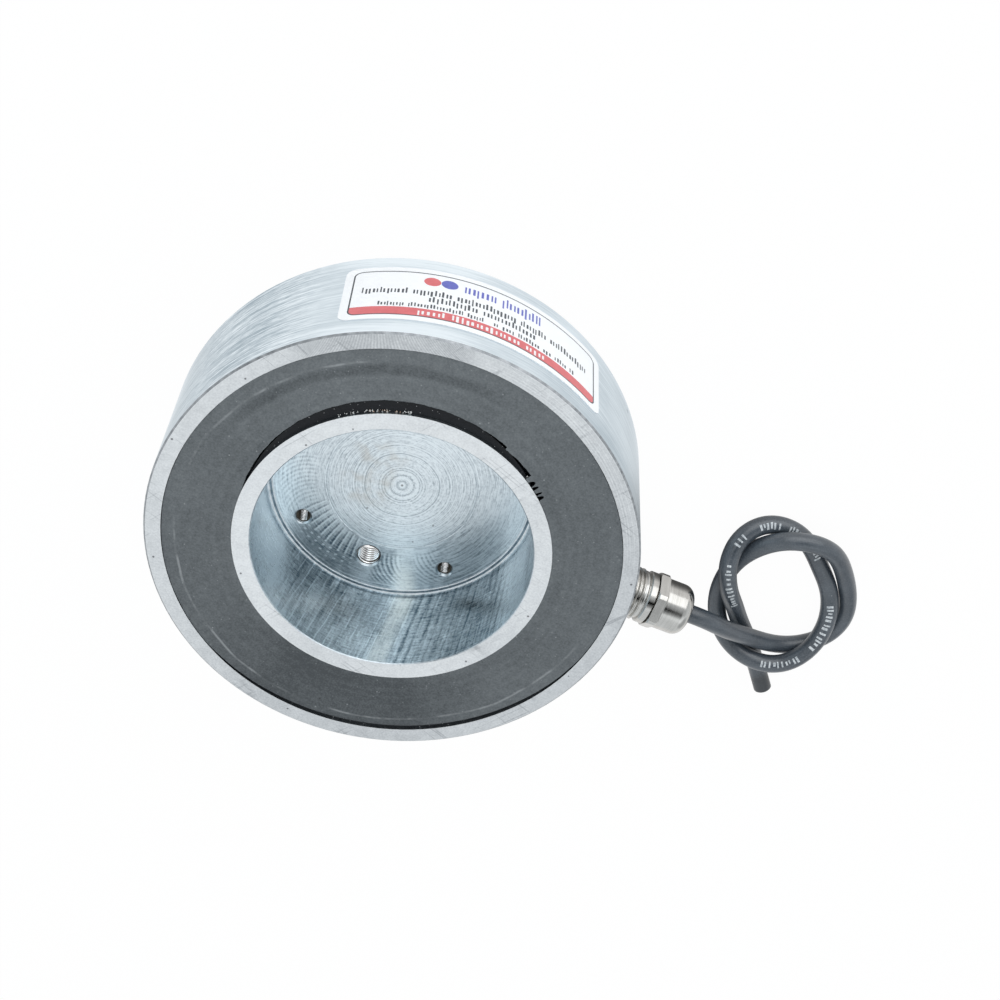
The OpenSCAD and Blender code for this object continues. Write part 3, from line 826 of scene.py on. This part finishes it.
def make_cable():
    """The sheath is a tube of rings on the middle line. Its cut end has a
    crushed edge and a hollow round the two cores: rings that step back in t
    and shrink in radius."""
    sides = SHEATH_SIDES
    t = np.linspace(0, ROUTE_END, ROUTE_END * RINGS_PER_SPAN + 1)
    turn = round_turn(sides)
    tube = cable_skin(t, np.tile(turn, (len(t), 1)), CABLE_R)
    end_t = ROUTE_END - np.array([0.0, 0.0, 0.04, 0.045])
    shrink = np.array([0.93, 0.8, 0.76, 0.02])
    tube[-1] = cable_skin(np.array([ROUTE_END - 0.02]), turn[None], CABLE_R)[0]
    lip = cable_skin(end_t, np.tile(turn, (4, 1)), CABLE_R * shrink[:, None])
    points = np.concatenate([tube, lip])
    faces = swept_faces(len(points), sides)
    cable = new_piece("cable_jacket_skin", points, faces, [sheath], "cable_sheath", 50)
    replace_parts(cable, "cable_jacket")
    return cable


# The heading that the print faces, the stretches of the middle line that it
# covers, and its height over the skin and its depth under it
PRINT_FACES = np.array((-0.18, 0.45, 0.87))
PRINT_STRETCHES = (
    (34.6, 32.9), (32.2, 31.75), (31.2, 30.5), (30.1, 28.4), (26.6, 24.9), (24.4, 22.9),
)
PRINT_OUT = 0.03 * MM
PRINT_IN = 0.15 * MM


def make_cable_print():
    """Rows of short pale blocks on the sheath. Each block is a closed slab:
    a grid over t and turn on the skin, with a copy just under the skin."""
    rng = np.random.default_rng(7)
    parts = []
    for start, stop in PRINT_STRETCHES:
        t = start
        while t > stop:
            wide = rng.uniform(0.05, 0.09)
            tall = rng.choice([0.66, 0.74, 0.74, 0.45])
            shift = rng.choice([0.0, 0.0, 0.07, -0.05])
            across = np.linspace(t, t - wide, 3)
            _, side, up = cable_frames(across)
            middle = np.arctan2(up @ PRINT_FACES, side @ PRINT_FACES) + shift
            turn = middle[:, None] + np.linspace(-0.5, 0.5, 5)[None] * tall
            outer = cable_skin(across, turn, CABLE_R + PRINT_OUT)
            inner = cable_skin(across, turn, CABLE_R - PRINT_IN)
            loop = np.concatenate([outer, inner[:, ::-1]], axis=1)
            parts.append((loop, swept_faces(len(loop), loop.shape[1])))
            t -= wide + rng.choice([0.05, 0.06, 0.11])
    return new_piece("cable_print", *joined(parts), [print_pale], "cable_sheath", 20)


def make_strands():
    """Copper strand tips in the two cores: small domes set in rings."""
    at_end = np.array([float(ROUTE_END)])
    _, (heading,) = cable_line(at_end)
    (end,), (side,), (up,) = cable_frames(at_end)
    parts = []
    spots = [(0.0, 0.0)] + [
        (r * np.cos(a), r * np.sin(a))
        for r, n in ((0.22 * MM, 6), (0.43 * MM, 12))
        for a in round_turn(n)
    ]
    turn = round_turn(8)
    around = STRAND_R * (np.cos(turn)[:, None] * side + np.sin(turn)[:, None] * up)
    rings = ((-0.3 * MM, 1.0), (0.04 * MM, 1.0), (0.07 * MM, 0.7), (0.08 * MM, 0.2))
    for core in (-1, 1):
        for across, along_up in spots:
            centre = end + side * (core * CORE_Y + across) + up * along_up + heading * CORE_SHOW
            loops = [centre + heading * ahead + around * width for ahead, width in rings]
            parts.append((np.array(loops), swept_faces(len(rings), len(turn))))
    return new_piece("core_strands", *joined(parts), [copper], "core_brown")


cable = make_cable()
cable_print = make_cable_print()
strands = make_strands()


# ---------- steel pot ----------

def make_pot():
    """The pot's own surface, with each machined region in its own finish,
    told apart by how far its faces lie from the axis and which way they face."""
    regions = [turned_wall, ground_face, faced_floor, bored_wall, dark_edge, hole_steel]
    pot = polished_copy("pot_body", "steel_pot", [plain_steel, *regions])
    mesh = pot.data
    count = len(mesh.polygons)
    centre, normal = np.empty(count * 3), np.empty(count * 3)
    mesh.polygons.foreach_get("center", centre)
    mesh.polygons.foreach_get("normal", normal)
    x, y, height = centre.reshape(-1, 3).T
    upward = normal[2::3]
    distance = np.hypot(x, y)
    level, upright = upward > 0.99, np.abs(upward) < 0.01
    in_wall = (distance > RECESS_R - 0.6 * MM) & (distance < POLE_R - 2 * MM)
    in_floor = (height > 0.1 * MM) & (height < RECESS_FLOOR_Z - 0.1 * MM)
    at_rim = (distance > WALL_R - MM) & (height > POLE_FACE_Z - MM)
    finish_numbers = np.zeros(count)
    for number, faces in enumerate((
        upright & (distance > WALL_R - 0.5 * MM),
        level & (height > POLE_FACE_Z - 0.1 * MM),
        level & (np.abs(height - RECESS_FLOOR_Z) < 0.1 * MM),
        upright & in_wall & (height > RECESS_FLOOR_Z - MM),
        ~level & ~upright & at_rim,
        upright & in_floor & (distance < RECESS_R - 2 * MM),
    ), start=1):
        finish_numbers[faces] = number
    paint(pot, finish_numbers)


STEPS_PER_TURN = 36
# A ridge's section: shares of its pitch along the axis, and of its height
RIDGE_OFFSETS = (-0.46, -0.08, 0.08, 0.24, 0.46)
RIDGE_HEIGHTS = (0, 1, 1, 0.58, 0)
RIDGE_BURY = 0.12 * MM


def thread_ridge(axis_at, axis, first, last, wall_r, crest_r, pitch, turn=0.0):
    """A helical ridge between two distances along an axis. Its section is a
    low trapezium that stands from the wall's radius to the crest's and runs
    out at both ends: place = axis + r (cos a, sin a) + a x pitch / 2 pi."""
    steps = int((last - first) / pitch * STEPS_PER_TURN)
    along = np.linspace(first, last, steps)
    angle = 2 * np.pi * along / pitch + turn
    run_out = np.clip(np.minimum(along - first, last - along) / (0.8 * pitch), 0.02, 1)
    bury = np.sign(wall_r - crest_r) * RIDGE_BURY
    offset = np.array(RIDGE_OFFSETS) * pitch
    crest = np.array(RIDGE_HEIGHTS)
    radius = wall_r + bury + (crest_r - wall_r - bury) * crest[None] * run_out[:, None]
    spot = along[:, None] + offset[None]
    points = on_circle(radius, angle[:, None], spot)
    if axis == "X":
        points = np.roll(points, 1, axis=-1)
    return points + np.array(axis_at), swept_faces(steps, len(crest))


# Where the painted highlight streak in the small holes lies: its turn and how narrow it is.
LIT_STREAK_TURN = 1.3
LIT_STREAK_SHARE = 0.86


def make_hole_threads():
    """Thread ridges in the six tapped holes of the recess floor: bright, with the lower flanks in
    painted shade in the large ones, and all in painted shade in the small ones apart from a painted
    highlight streak along one side."""
    parts, centres = [], []
    first, last = COUNTERSINK, RECESS_FLOOR_Z - COUNTERSINK
    for turns, circle_r, bore_r, core_r, pitch in (
        (LARGE_TAP_TURNS, LARGE_TAP_CIRCLE_R, LARGE_TAP_R, 3.35 * MM, 1.25 * MM),
        (SMALL_TAP_TURNS, SMALL_TAP_CIRCLE_R, SMALL_TAP_R, 2.1 * MM, 0.8 * MM),
    ):
        for turn in turns:
            x, y = turned(circle_r, 0.0, math.radians(turn))
            parts.append(thread_ridge((x, y, 0), "Z", first, last, bore_r, core_r, pitch, turn))
            centres.append((x, y))
    finishes = [thread_steel, hole_steel]
    threads = new_piece("hole_threads", *joined(parts), finishes, "zinc_plated_steel", 20)
    dark = []
    sides = len(RIDGE_OFFSETS)
    for hole, (part_points, part_faces) in enumerate(parts):
        quads = part_points.reshape(-1, 3)[np.array(part_faces[:-2])]
        x, y = (quads.mean(axis=1)[:, :2] - centres[hole]).T
        # Painted highlight: ridges facing one fixed way keep the bright finish; the rest of the
        # small holes take the dark finish as painted shade.
        lit_streak = np.cos(np.arctan2(y, x) + LIT_STREAK_TURN) > LIT_STREAK_SHARE
        strip = np.arange(len(quads)) % sides
        small = hole >= len(LARGE_TAP_TURNS)
        buried = strip == sides - 1
        dark += [(strip == sides - 2) | buried | (small & ~lit_streak), np.full(2, True)]
    paint(threads, np.concatenate(dark))


FOOT_STEPS = 240
GROOVE_STRIP = 4


def make_recess_foot():
    """The double line at the foot of the recess's wall: a section of radius and height in mm,
    turned about the axis, with two lips coloured near white as painted highlight lines and, as one
    of its strips, a groove between them darkened as painted shade."""
    section = np.array([
        (43.6, -0.2), (43.85, 0.02), (43.98, 0.14), (44.22, 0.14), (44.35, 0.02), (45.15, 0.02),
        (45.3, 0.12), (45.42, 0.2), (45.74, 0.22), (45.95, 0.22), (45.95, -0.2),
    ]) * MM
    angle = round_turn(FOOT_STEPS)[:, None]
    points = on_circle(section[:, 0], angle, section[:, 1] + RECESS_FLOOR_Z)
    faces = ring_faces(FOOT_STEPS, len(section))
    finishes = [foot_steel, foot_shade]
    foot = new_piece("recess_foot", points, faces, finishes, "zinc_plated_steel", 60)
    paint(foot, np.arange(len(faces)) % len(section) == GROOVE_STRIP)


make_pot()
make_hole_threads()
make_recess_foot()


# ---------- resin ----------

def crescent_edge(angle, ring_r, gap, half):
    """The radius of an off-centre circle seen from the pot's axis. At the
    middle of the gap the circle lies the gap's width off the ring, and it
    meets the ring at half on each side."""
    shift = gap / (1 - math.cos(half))
    edge_r = ring_r + gap - shift
    return shift * np.cos(angle) + np.sqrt(edge_r**2 - (shift * np.sin(angle)) ** 2)


def away_from(angle, middle):
    """The signed angle from a middle, between minus and plus half a turn."""
    return (angle - middle + np.pi) % (2 * np.pi) - np.pi


def bumpy(angle, terms, rng, size):
    """A smooth wandering number round the ring: a sum of sines with whole
    numbers of waves and random starts, scaled to the size."""
    waves = np.asarray(terms)
    starts = rng.uniform(0, 2 * np.pi, len(waves))
    swing = np.sin(angle[:, None] * waves + starts) / np.sqrt(waves)
    return size * swing.sum(axis=1) / np.sqrt((1 / waves).sum())


# Notches torn in the resin at one end of the inner crescent: azimuth and half
# width in degrees, and depth in mm
TORN_NOTCHES = ((48.0, 0.85, 1.9), (49.8, 0.5, 2.2), (52.3, 0.65, 2.2), (54.4, 1.1, 1.9))


def inner_resin_edge(angle, rng):
    """The inner edge of the grey ring: the crescent's circle, a blunt wider
    stretch at one end of it and the torn notches beyond that."""
    from_gap = away_from(angle, GAP_TURN)
    edge = crescent_edge(from_gap, POLE_R, INNER_GAP, INNER_GAP_HALF)
    degrees = np.degrees(angle)
    wide = (degrees > 70.6) & (degrees < 90)
    blunt = (degrees > 57.2) & (degrees <= 70.6)
    edge = np.where(wide, np.maximum(edge, (55.0 + (degrees - 70.6) * 0.035) * MM), edge)
    edge = np.where(blunt, 54.05 * MM + bumpy(angle, (41, 67, 97), rng, 0.06 * MM), edge)
    edge = np.where(degrees <= 57.2, POLE_R, edge)
    for middle, half, depth in TORN_NOTCHES:
        share = np.clip(1 - ((degrees - middle) / half) ** 2, 0, 1) ** 0.6
        edge = np.maximum(edge, POLE_R + depth * MM * share)
    open_gap = np.clip((edge - POLE_R) / MM, 0, 1)
    edge = edge + open_gap * bumpy(angle, (37, 61, 113, 171, 307, 443), rng, 0.08 * MM)
    return np.maximum(edge, POLE_R + 0.03 * MM)


def make_face_ring():
    """The grey resin ring: a closed section carried round the axis between
    an inner edge and an outer edge that both follow the crescents. Its
    upright sides are smeared with the black resin."""
    rng = np.random.default_rng(3)
    steps = 2160
    angle = round_turn(steps)
    inner = inner_resin_edge(angle, rng)
    outer_turn = away_from(angle, GAP_TURN + np.pi)
    outer = crescent_edge(outer_turn, SLOT_R, -OUTER_GAP, OUTER_GAP_HALF)
    rough_rim = bumpy(angle, (5, 17, 41, 83, 167), rng, 0.06 * MM)
    outer = np.minimum(outer, SLOT_R - 0.16 * MM) + rough_rim
    outer = np.minimum(outer, SLOT_R - 0.05 * MM)
    top = RESIN_TOP_Z + bumpy(angle, (2, 3, 7), rng, 0.03 * MM)
    low = np.full(steps, RESIN_FOOT_Z)
    edge = 0.12 * MM
    share = np.linspace(0, 1, 14)[1:-1]
    section = [(inner, low), (inner, top - edge), (inner + 0.3 * edge, top - 0.3 * edge)]
    section += [(inner + edge + (outer - inner - 2 * edge) * s, top) for s in share]
    section += [(outer - 0.3 * edge, top - 0.3 * edge), (outer, top - edge), (outer, low)]
    radius, height = (np.stack(column, axis=1) for column in zip(*section))
    points = on_circle(radius, angle[:, None], height)
    faces = ring_faces(steps, len(section))
    finishes = [grey_resin, black_resin]
    ring = new_piece("resin_face_ring", points, faces, finishes, "grey_resin", 40)
    strip = np.arange(len(faces)) % len(section)
    paint(ring, (strip == 0) | (strip >= len(section) - 2))
    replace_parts(ring, "face_ring")


def make_chips():
    """Crumbs of swarf and resin in the inner crescent: small uneven blocks
    of eight corners, strewn along its inner edge."""
    rng = np.random.default_rng(21)
    corners = np.array([(x, y, z) for x in (-1, 1) for y in (-1, 1) for z in (-1, 1)])
    faces = [(0, 1, 3, 2), (4, 6, 7, 5), (0, 4, 5, 1), (2, 3, 7, 6), (0, 2, 6, 4), (1, 5, 7, 3)]
    for name, count, from_turn, to_turn, finish in (
        ("pale_chips", 46, 104, 130, chip_white),
        ("rusty_chips", 16, 106, 119, chip_rust),
        ("torn_end_chips", 7, 56, 57.6, chip_white),
    ):
        parts = []
        for _ in range(count):
            turn = math.radians(rng.uniform(from_turn, to_turn))
            size = rng.uniform(0.06, 0.22, 3) * MM
            shape = corners * size * rng.uniform(0.6, 1.0, (8, 3))
            x, y = turned(shape[:, 0], shape[:, 1], rng.uniform(0, np.pi))
            r = POLE_R + rng.uniform(0.15, 0.95) * MM
            middle = np.array([r * math.cos(turn), r * math.sin(turn), BLACK_TOP_Z + 0.16 * MM])
            parts.append((np.stack([x, y, shape[:, 2]], axis=1) + middle, faces))
        new_piece(name, *joined(parts), [finish], "grey_resin", 20)


make_face_ring()
make_chips()
polished_copy("potting_resin", "black_potting", [black_resin])


# ---------- gland ----------

polished_copy("gland_body", "gland_shank", [nickel])
polished_copy("gland_nut", "gland_dome_nut", [nickel], 22)
gland_thread = thread_ridge(
    (0, 0, GLAND_Z), "X", WALL_R - 2 * MM, SHANK_TO_X - 0.3 * MM, SHANK_R, 9.0 * MM, 1.5 * MM
)
new_piece("gland_thread", *gland_thread, [nickel], "nickel_plated_brass", 50)


# ---------- label ----------

LABEL_TURN = math.radians(91.5)
LABEL_MID_Z = 24.2 * MM
LABEL_TILT = math.radians(0.6)
# In mm, as everything that is drawn on the label
LABEL_HALF_W = 45.5
LABEL_HALF_H = 17.0
LABEL_CORNER = 3.5
BAND_HALF_W = 42.6
BAND_CORNER = 2.6
BAND_LOW_V = -14.2
BAND_HIGH_V = -9.2
DOT_R = 2.7
DOT_V = 9.1
# The film's outer radius, the radius where inks begin inside it, and how
# far they stand out of it
FILM_OUT = WALL_R + 0.2 * MM
INK_FOOT = FILM_OUT - 0.1 * MM
INK = 0.02 * MM


def label_point(u, v, radius):
    """A point of the label, u mm along its lines of print and v mm up from
    its middle, turned by the tilt and wrapped on the wall."""
    u, v = turned(u, v, LABEL_TILT)
    return on_circle(radius, LABEL_TURN - u * MM / WALL_R, LABEL_MID_Z - v * MM)


def slab(u, v_low, v_high, outer, inner=INK_FOOT):
    """A thin closed patch on the wall: for each u, a column from v_low to
    v_high on the outer radius and back on the inner one."""
    v = np.stack([v_low, v_high, v_high, v_low], axis=1)
    points = label_point(u[:, None], v, np.array([outer, outer, inner, inner]))
    return points, swept_faces(len(v), 4)


def rounded_columns(half_w, r, step=1.0):
    """Positions along a rounded bar, closer together at its round ends."""
    ends = half_w - r + r * np.sin(np.linspace(0, np.pi / 2, 8))
    straight = np.linspace(-(half_w - r), half_w - r, max(2, int(2 * (half_w - r) / step) + 1))
    return np.unique(np.round(np.concatenate([-ends, straight, ends]), 6))


def corner_drop(u, half_w, r):
    """How far a rounded corner falls back from the edge at u."""
    over = np.clip(np.abs(u) - (half_w - r), 0, r)
    return r - np.sqrt(np.maximum(r**2 - over**2, 0))


def rounded_slab(u_mid, v_mid, half_w, half_h, r, outer=FILM_OUT + INK, inner=INK_FOOT):
    """A slab in the shape of a rounded rectangle about its middle."""
    u = rounded_columns(half_w, r)
    drop = np.minimum(corner_drop(u, half_w, r), half_h - 0.001)
    return slab(u + u_mid, v_mid - half_h + drop, v_mid + half_h - drop, outer, inner)


def outline_slab(half_w, half_h, r, width, outer):
    """A thin line along a rounded rectangle: a flat section carried round."""
    corners = []
    for k, (x, y) in enumerate(((1, 1), (-1, 1), (-1, -1), (1, -1))):
        turn = np.linspace(k, k + 1, 9) * np.pi / 2
        middle = np.full((9, 2), (x * (half_w - r), y * (half_h - r)))
        corners.append(np.column_stack([middle, np.cos(turn), np.sin(turn)]))
    path = np.concatenate(corners)
    dense = []
    for a, b in zip(path, np.roll(path, -1, axis=0)):
        gap = np.hypot(*(b[:2] - a[:2]))
        dense.append(a + (b - a) * np.linspace(0, 1, max(2, int(gap)))[:-1, None])
    path = np.concatenate(dense)
    section = ((r, outer), (r - width, outer), (r - width, INK_FOOT), (r, INK_FOOT))
    loops = [
        label_point(*(path[:, :2] + reach * path[:, 2:]).T, radius) for reach, radius in section
    ]
    return np.stack(loops, axis=1), ring_faces(len(path), len(section))


def block_row(rng, u_from, u_to, v_foot, tall, words):
    """A line of plain upright blocks in groups, as print looks from afar.
    Blocks are as tall as small letters, with some taller and some hanging."""
    spans, u = [], 0.0
    for word in words:
        for _ in range(word):
            for _ in range(rng.choice([1, 2, 2, 2])):
                wide = rng.choice([0.12, 0.15, 0.18]) * tall
                spans.append((u, wide))
                u += wide + 0.13 * tall
            u += 0.06 * tall
        u += 0.3 * tall
    stretch = (u_to - u_from) / (spans[-1][0] + spans[-1][1])
    parts = []
    for start, wide in spans:
        rise = rng.choice([0.72, 0.72, 0.72, 1.0])
        hang = rng.choice([0.0, 0.0, 0.0, 0.0, 0.22])
        middle = u_from + (start + wide / 2) * stretch
        v_mid = v_foot + tall * (rise - hang) / 2
        half_h = tall * (rise + hang) / 2
        half_w = wide * stretch / 2
        parts.append(rounded_slab(middle, v_mid, half_w, half_h, min(0.25, half_w * 0.7)))
    return parts


def make_label():
    """A white film with a fine border line, a red band and lines of plain
    blocks where such a label carries its words."""
    rng = np.random.default_rng(11)
    film = rounded_slab(0, 0, LABEL_HALF_W, LABEL_HALF_H, LABEL_CORNER, FILM_OUT, WALL_R - 0.1 * MM)
    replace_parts(new_piece("label_film", *film, [film_white], "label_film"), "label")

    band_u = rounded_columns(BAND_HALF_W, BAND_CORNER)
    band_low = BAND_LOW_V + corner_drop(band_u, BAND_HALF_W, BAND_CORNER)
    band = slab(band_u, band_low, np.full(len(band_u), BAND_HIGH_V), FILM_OUT + 0.5 * INK)
    border = outline_slab(42.8, 14.4, 2.8, 0.5, FILM_OUT + 0.8 * INK)

    # Each row of blocks: from and to along the label, foot, height, groups
    dark = block_row(rng, -39.4, 38.3, 0.0, 3.5, (7, 6, 9, 5, 8))
    dark += block_row(rng, -18.3, 17.1, -4.2, 3.5, (8, 9))
    dark += block_row(rng, -33.8, -0.8, -8.2, 2.4, (5, 11, 3))
    dark += block_row(rng, 2.7, 32.8, -8.2, 2.4, (1, 3, 4, 2, 3, 2))
    white = block_row(rng, -21.2, 20.7, -12.9, 3.0, (4, 9, 3))
    blue = block_row(rng, -7.5, 18.8, 6.4, 5.4, (5, 6))
    blue_dot, red_dot = (rounded_slab(u, DOT_V, DOT_R, DOT_R, DOT_R) for u in (-12.4, -17.9))
    for name, print_parts, finish in (
        ("label_red_band", [band], ink_red),
        ("label_border", [border], ink_grey),
        ("label_dark_print", dark, ink_grey),
        ("label_white_print", white, ink_white),
        ("label_blue_print", blue + [blue_dot], ink_blue),
        ("label_red_dot", [red_dot], ink_red),
    ):
        new_piece(name, *joined(print_parts), [finish], "label_film")


make_label()


# ---------- floor and light ----------

FLOOR_HALF = 2.0
FLOOR_Z = -0.02 * MM
GLAND_FOOT = (108 * MM, 4 * MM, 0.0)
PAPER = (0.86, 0.87, 0.88, 1)
ROOM_BLUE = (0.93, 0.97, 1.0, 1)
WHITE = (1, 1, 1, 1)
ROOM_STRENGTH = 0.93
# Azimuth, elevation, half width and soft edge in degrees, added strength
SKY_PATCHES = (
    (118, 56, 8, 9, 0.8),
    (45, 56, 20, 16, -0.27),
    (82, 68, 11, 9, -0.45),
    (35, 80, 12, 8, -0.5),
    (152, 52, 12, 16, -0.3),
    (150, 18, 14, 14, -0.45),
    (62, 12, 12, 12, -0.4),
    (-30, 25, 14, 14, -0.35),
    (-17, 56, 12, 10, 0.36),
)


def make_floor():
    """A pale floor that takes shadow. It looks white to the camera, and gloss sees it bright too,
    but dim within 56 mm of the gland: a painted shadow that only reflections show."""
    mesh = bpy.data.meshes.new("floor")
    a, z = FLOOR_HALF, FLOOR_Z
    mesh.from_pydata([(-a, -a, z), (a, -a, z), (a, a, z), (-a, a, z)], [], [(0, 1, 2, 3)])
    material = bpy.data.materials.new("floor")
    material.use_nodes = True
    w = Wiring(material.node_tree)
    w.tree.nodes.clear()
    # Painted shadow: what gloss sees of the floor dims near the gland.
    from_gland = w.vector_math("DISTANCE", w.where(), GLAND_FOOT)
    strength = w.seen_by("Camera").larger(from_gland.step(10 * MM, 56 * MM, 0.1, 0.97))
    share = w.seen_by("Camera").larger(w.seen_by("Glossy")) * 0.97
    paper = ("ShaderNodeBsdfDiffuse", (PAPER,))
    white = ("ShaderNodeEmission", (WHITE, strength))
    w.shade(share, paper, white, "ShaderNodeOutputMaterial")
    mesh.materials.append(material)
    placed("floor", mesh)


def add_softbox(name, place, aim, size, power):
    light = bpy.data.lights.new(name, "AREA")
    light.shape = "RECTANGLE"
    light.size, light.size_y = size
    light.energy = power
    lamp = placed(name, light)
    lamp.location = place
    lamp.rotation_mode = "QUATERNION"
    lamp.rotation_quaternion = (Vector(aim) - Vector(place)).to_track_quat("-Z", "Y")
    lamp.visible_camera = False
    return lamp


def toward(azimuth, elevation):
    """The unit vector that points at an azimuth and elevation in degrees."""
    a, e = math.radians(azimuth), math.radians(elevation)
    return (math.cos(e) * math.cos(a), math.cos(e) * math.sin(a), math.sin(e))


def light_the_room():
    """The camera sees white surroundings. All else is lit by a faintly blue
    room with dimmer and brighter patches, and by two large softboxes."""
    world = bpy.data.worlds.new("studio")
    bpy.context.scene.world = world
    world.use_nodes = True
    w = Wiring(world.node_tree)
    w.tree.nodes.clear()
    strength = ROOM_STRENGTH
    for azimuth, elevation, half, soft, added in SKY_PATCHES:
        nearness = w.vector_math("DOT_PRODUCT", w.where("Generated"), toward(azimuth, elevation))
        far, near = math.cos(math.radians(half + soft)), math.cos(math.radians(half))
        strength = w.math("ADD", strength, nearness.step(far, near, 0.0, added))
    room = ("ShaderNodeBackground", (ROOM_BLUE, strength))
    white = ("ShaderNodeBackground", (WHITE,))
    w.shade(w.seen_by("Camera"), room, white, "ShaderNodeOutputWorld")
    overhead = add_softbox("overhead", (-0.1, 0.1, 1.6), (0, 0, 0.03), (1.0, 1.0), 6.0)
    overhead.visible_glossy = False
    add_softbox("fill", (0.1, 1.3, 0.45), (0, 0, 0.03), (1.8, 1.2), 9.0)


make_floor()
light_the_room()
bpy.context.scene.view_settings.view_transform = "Standard"
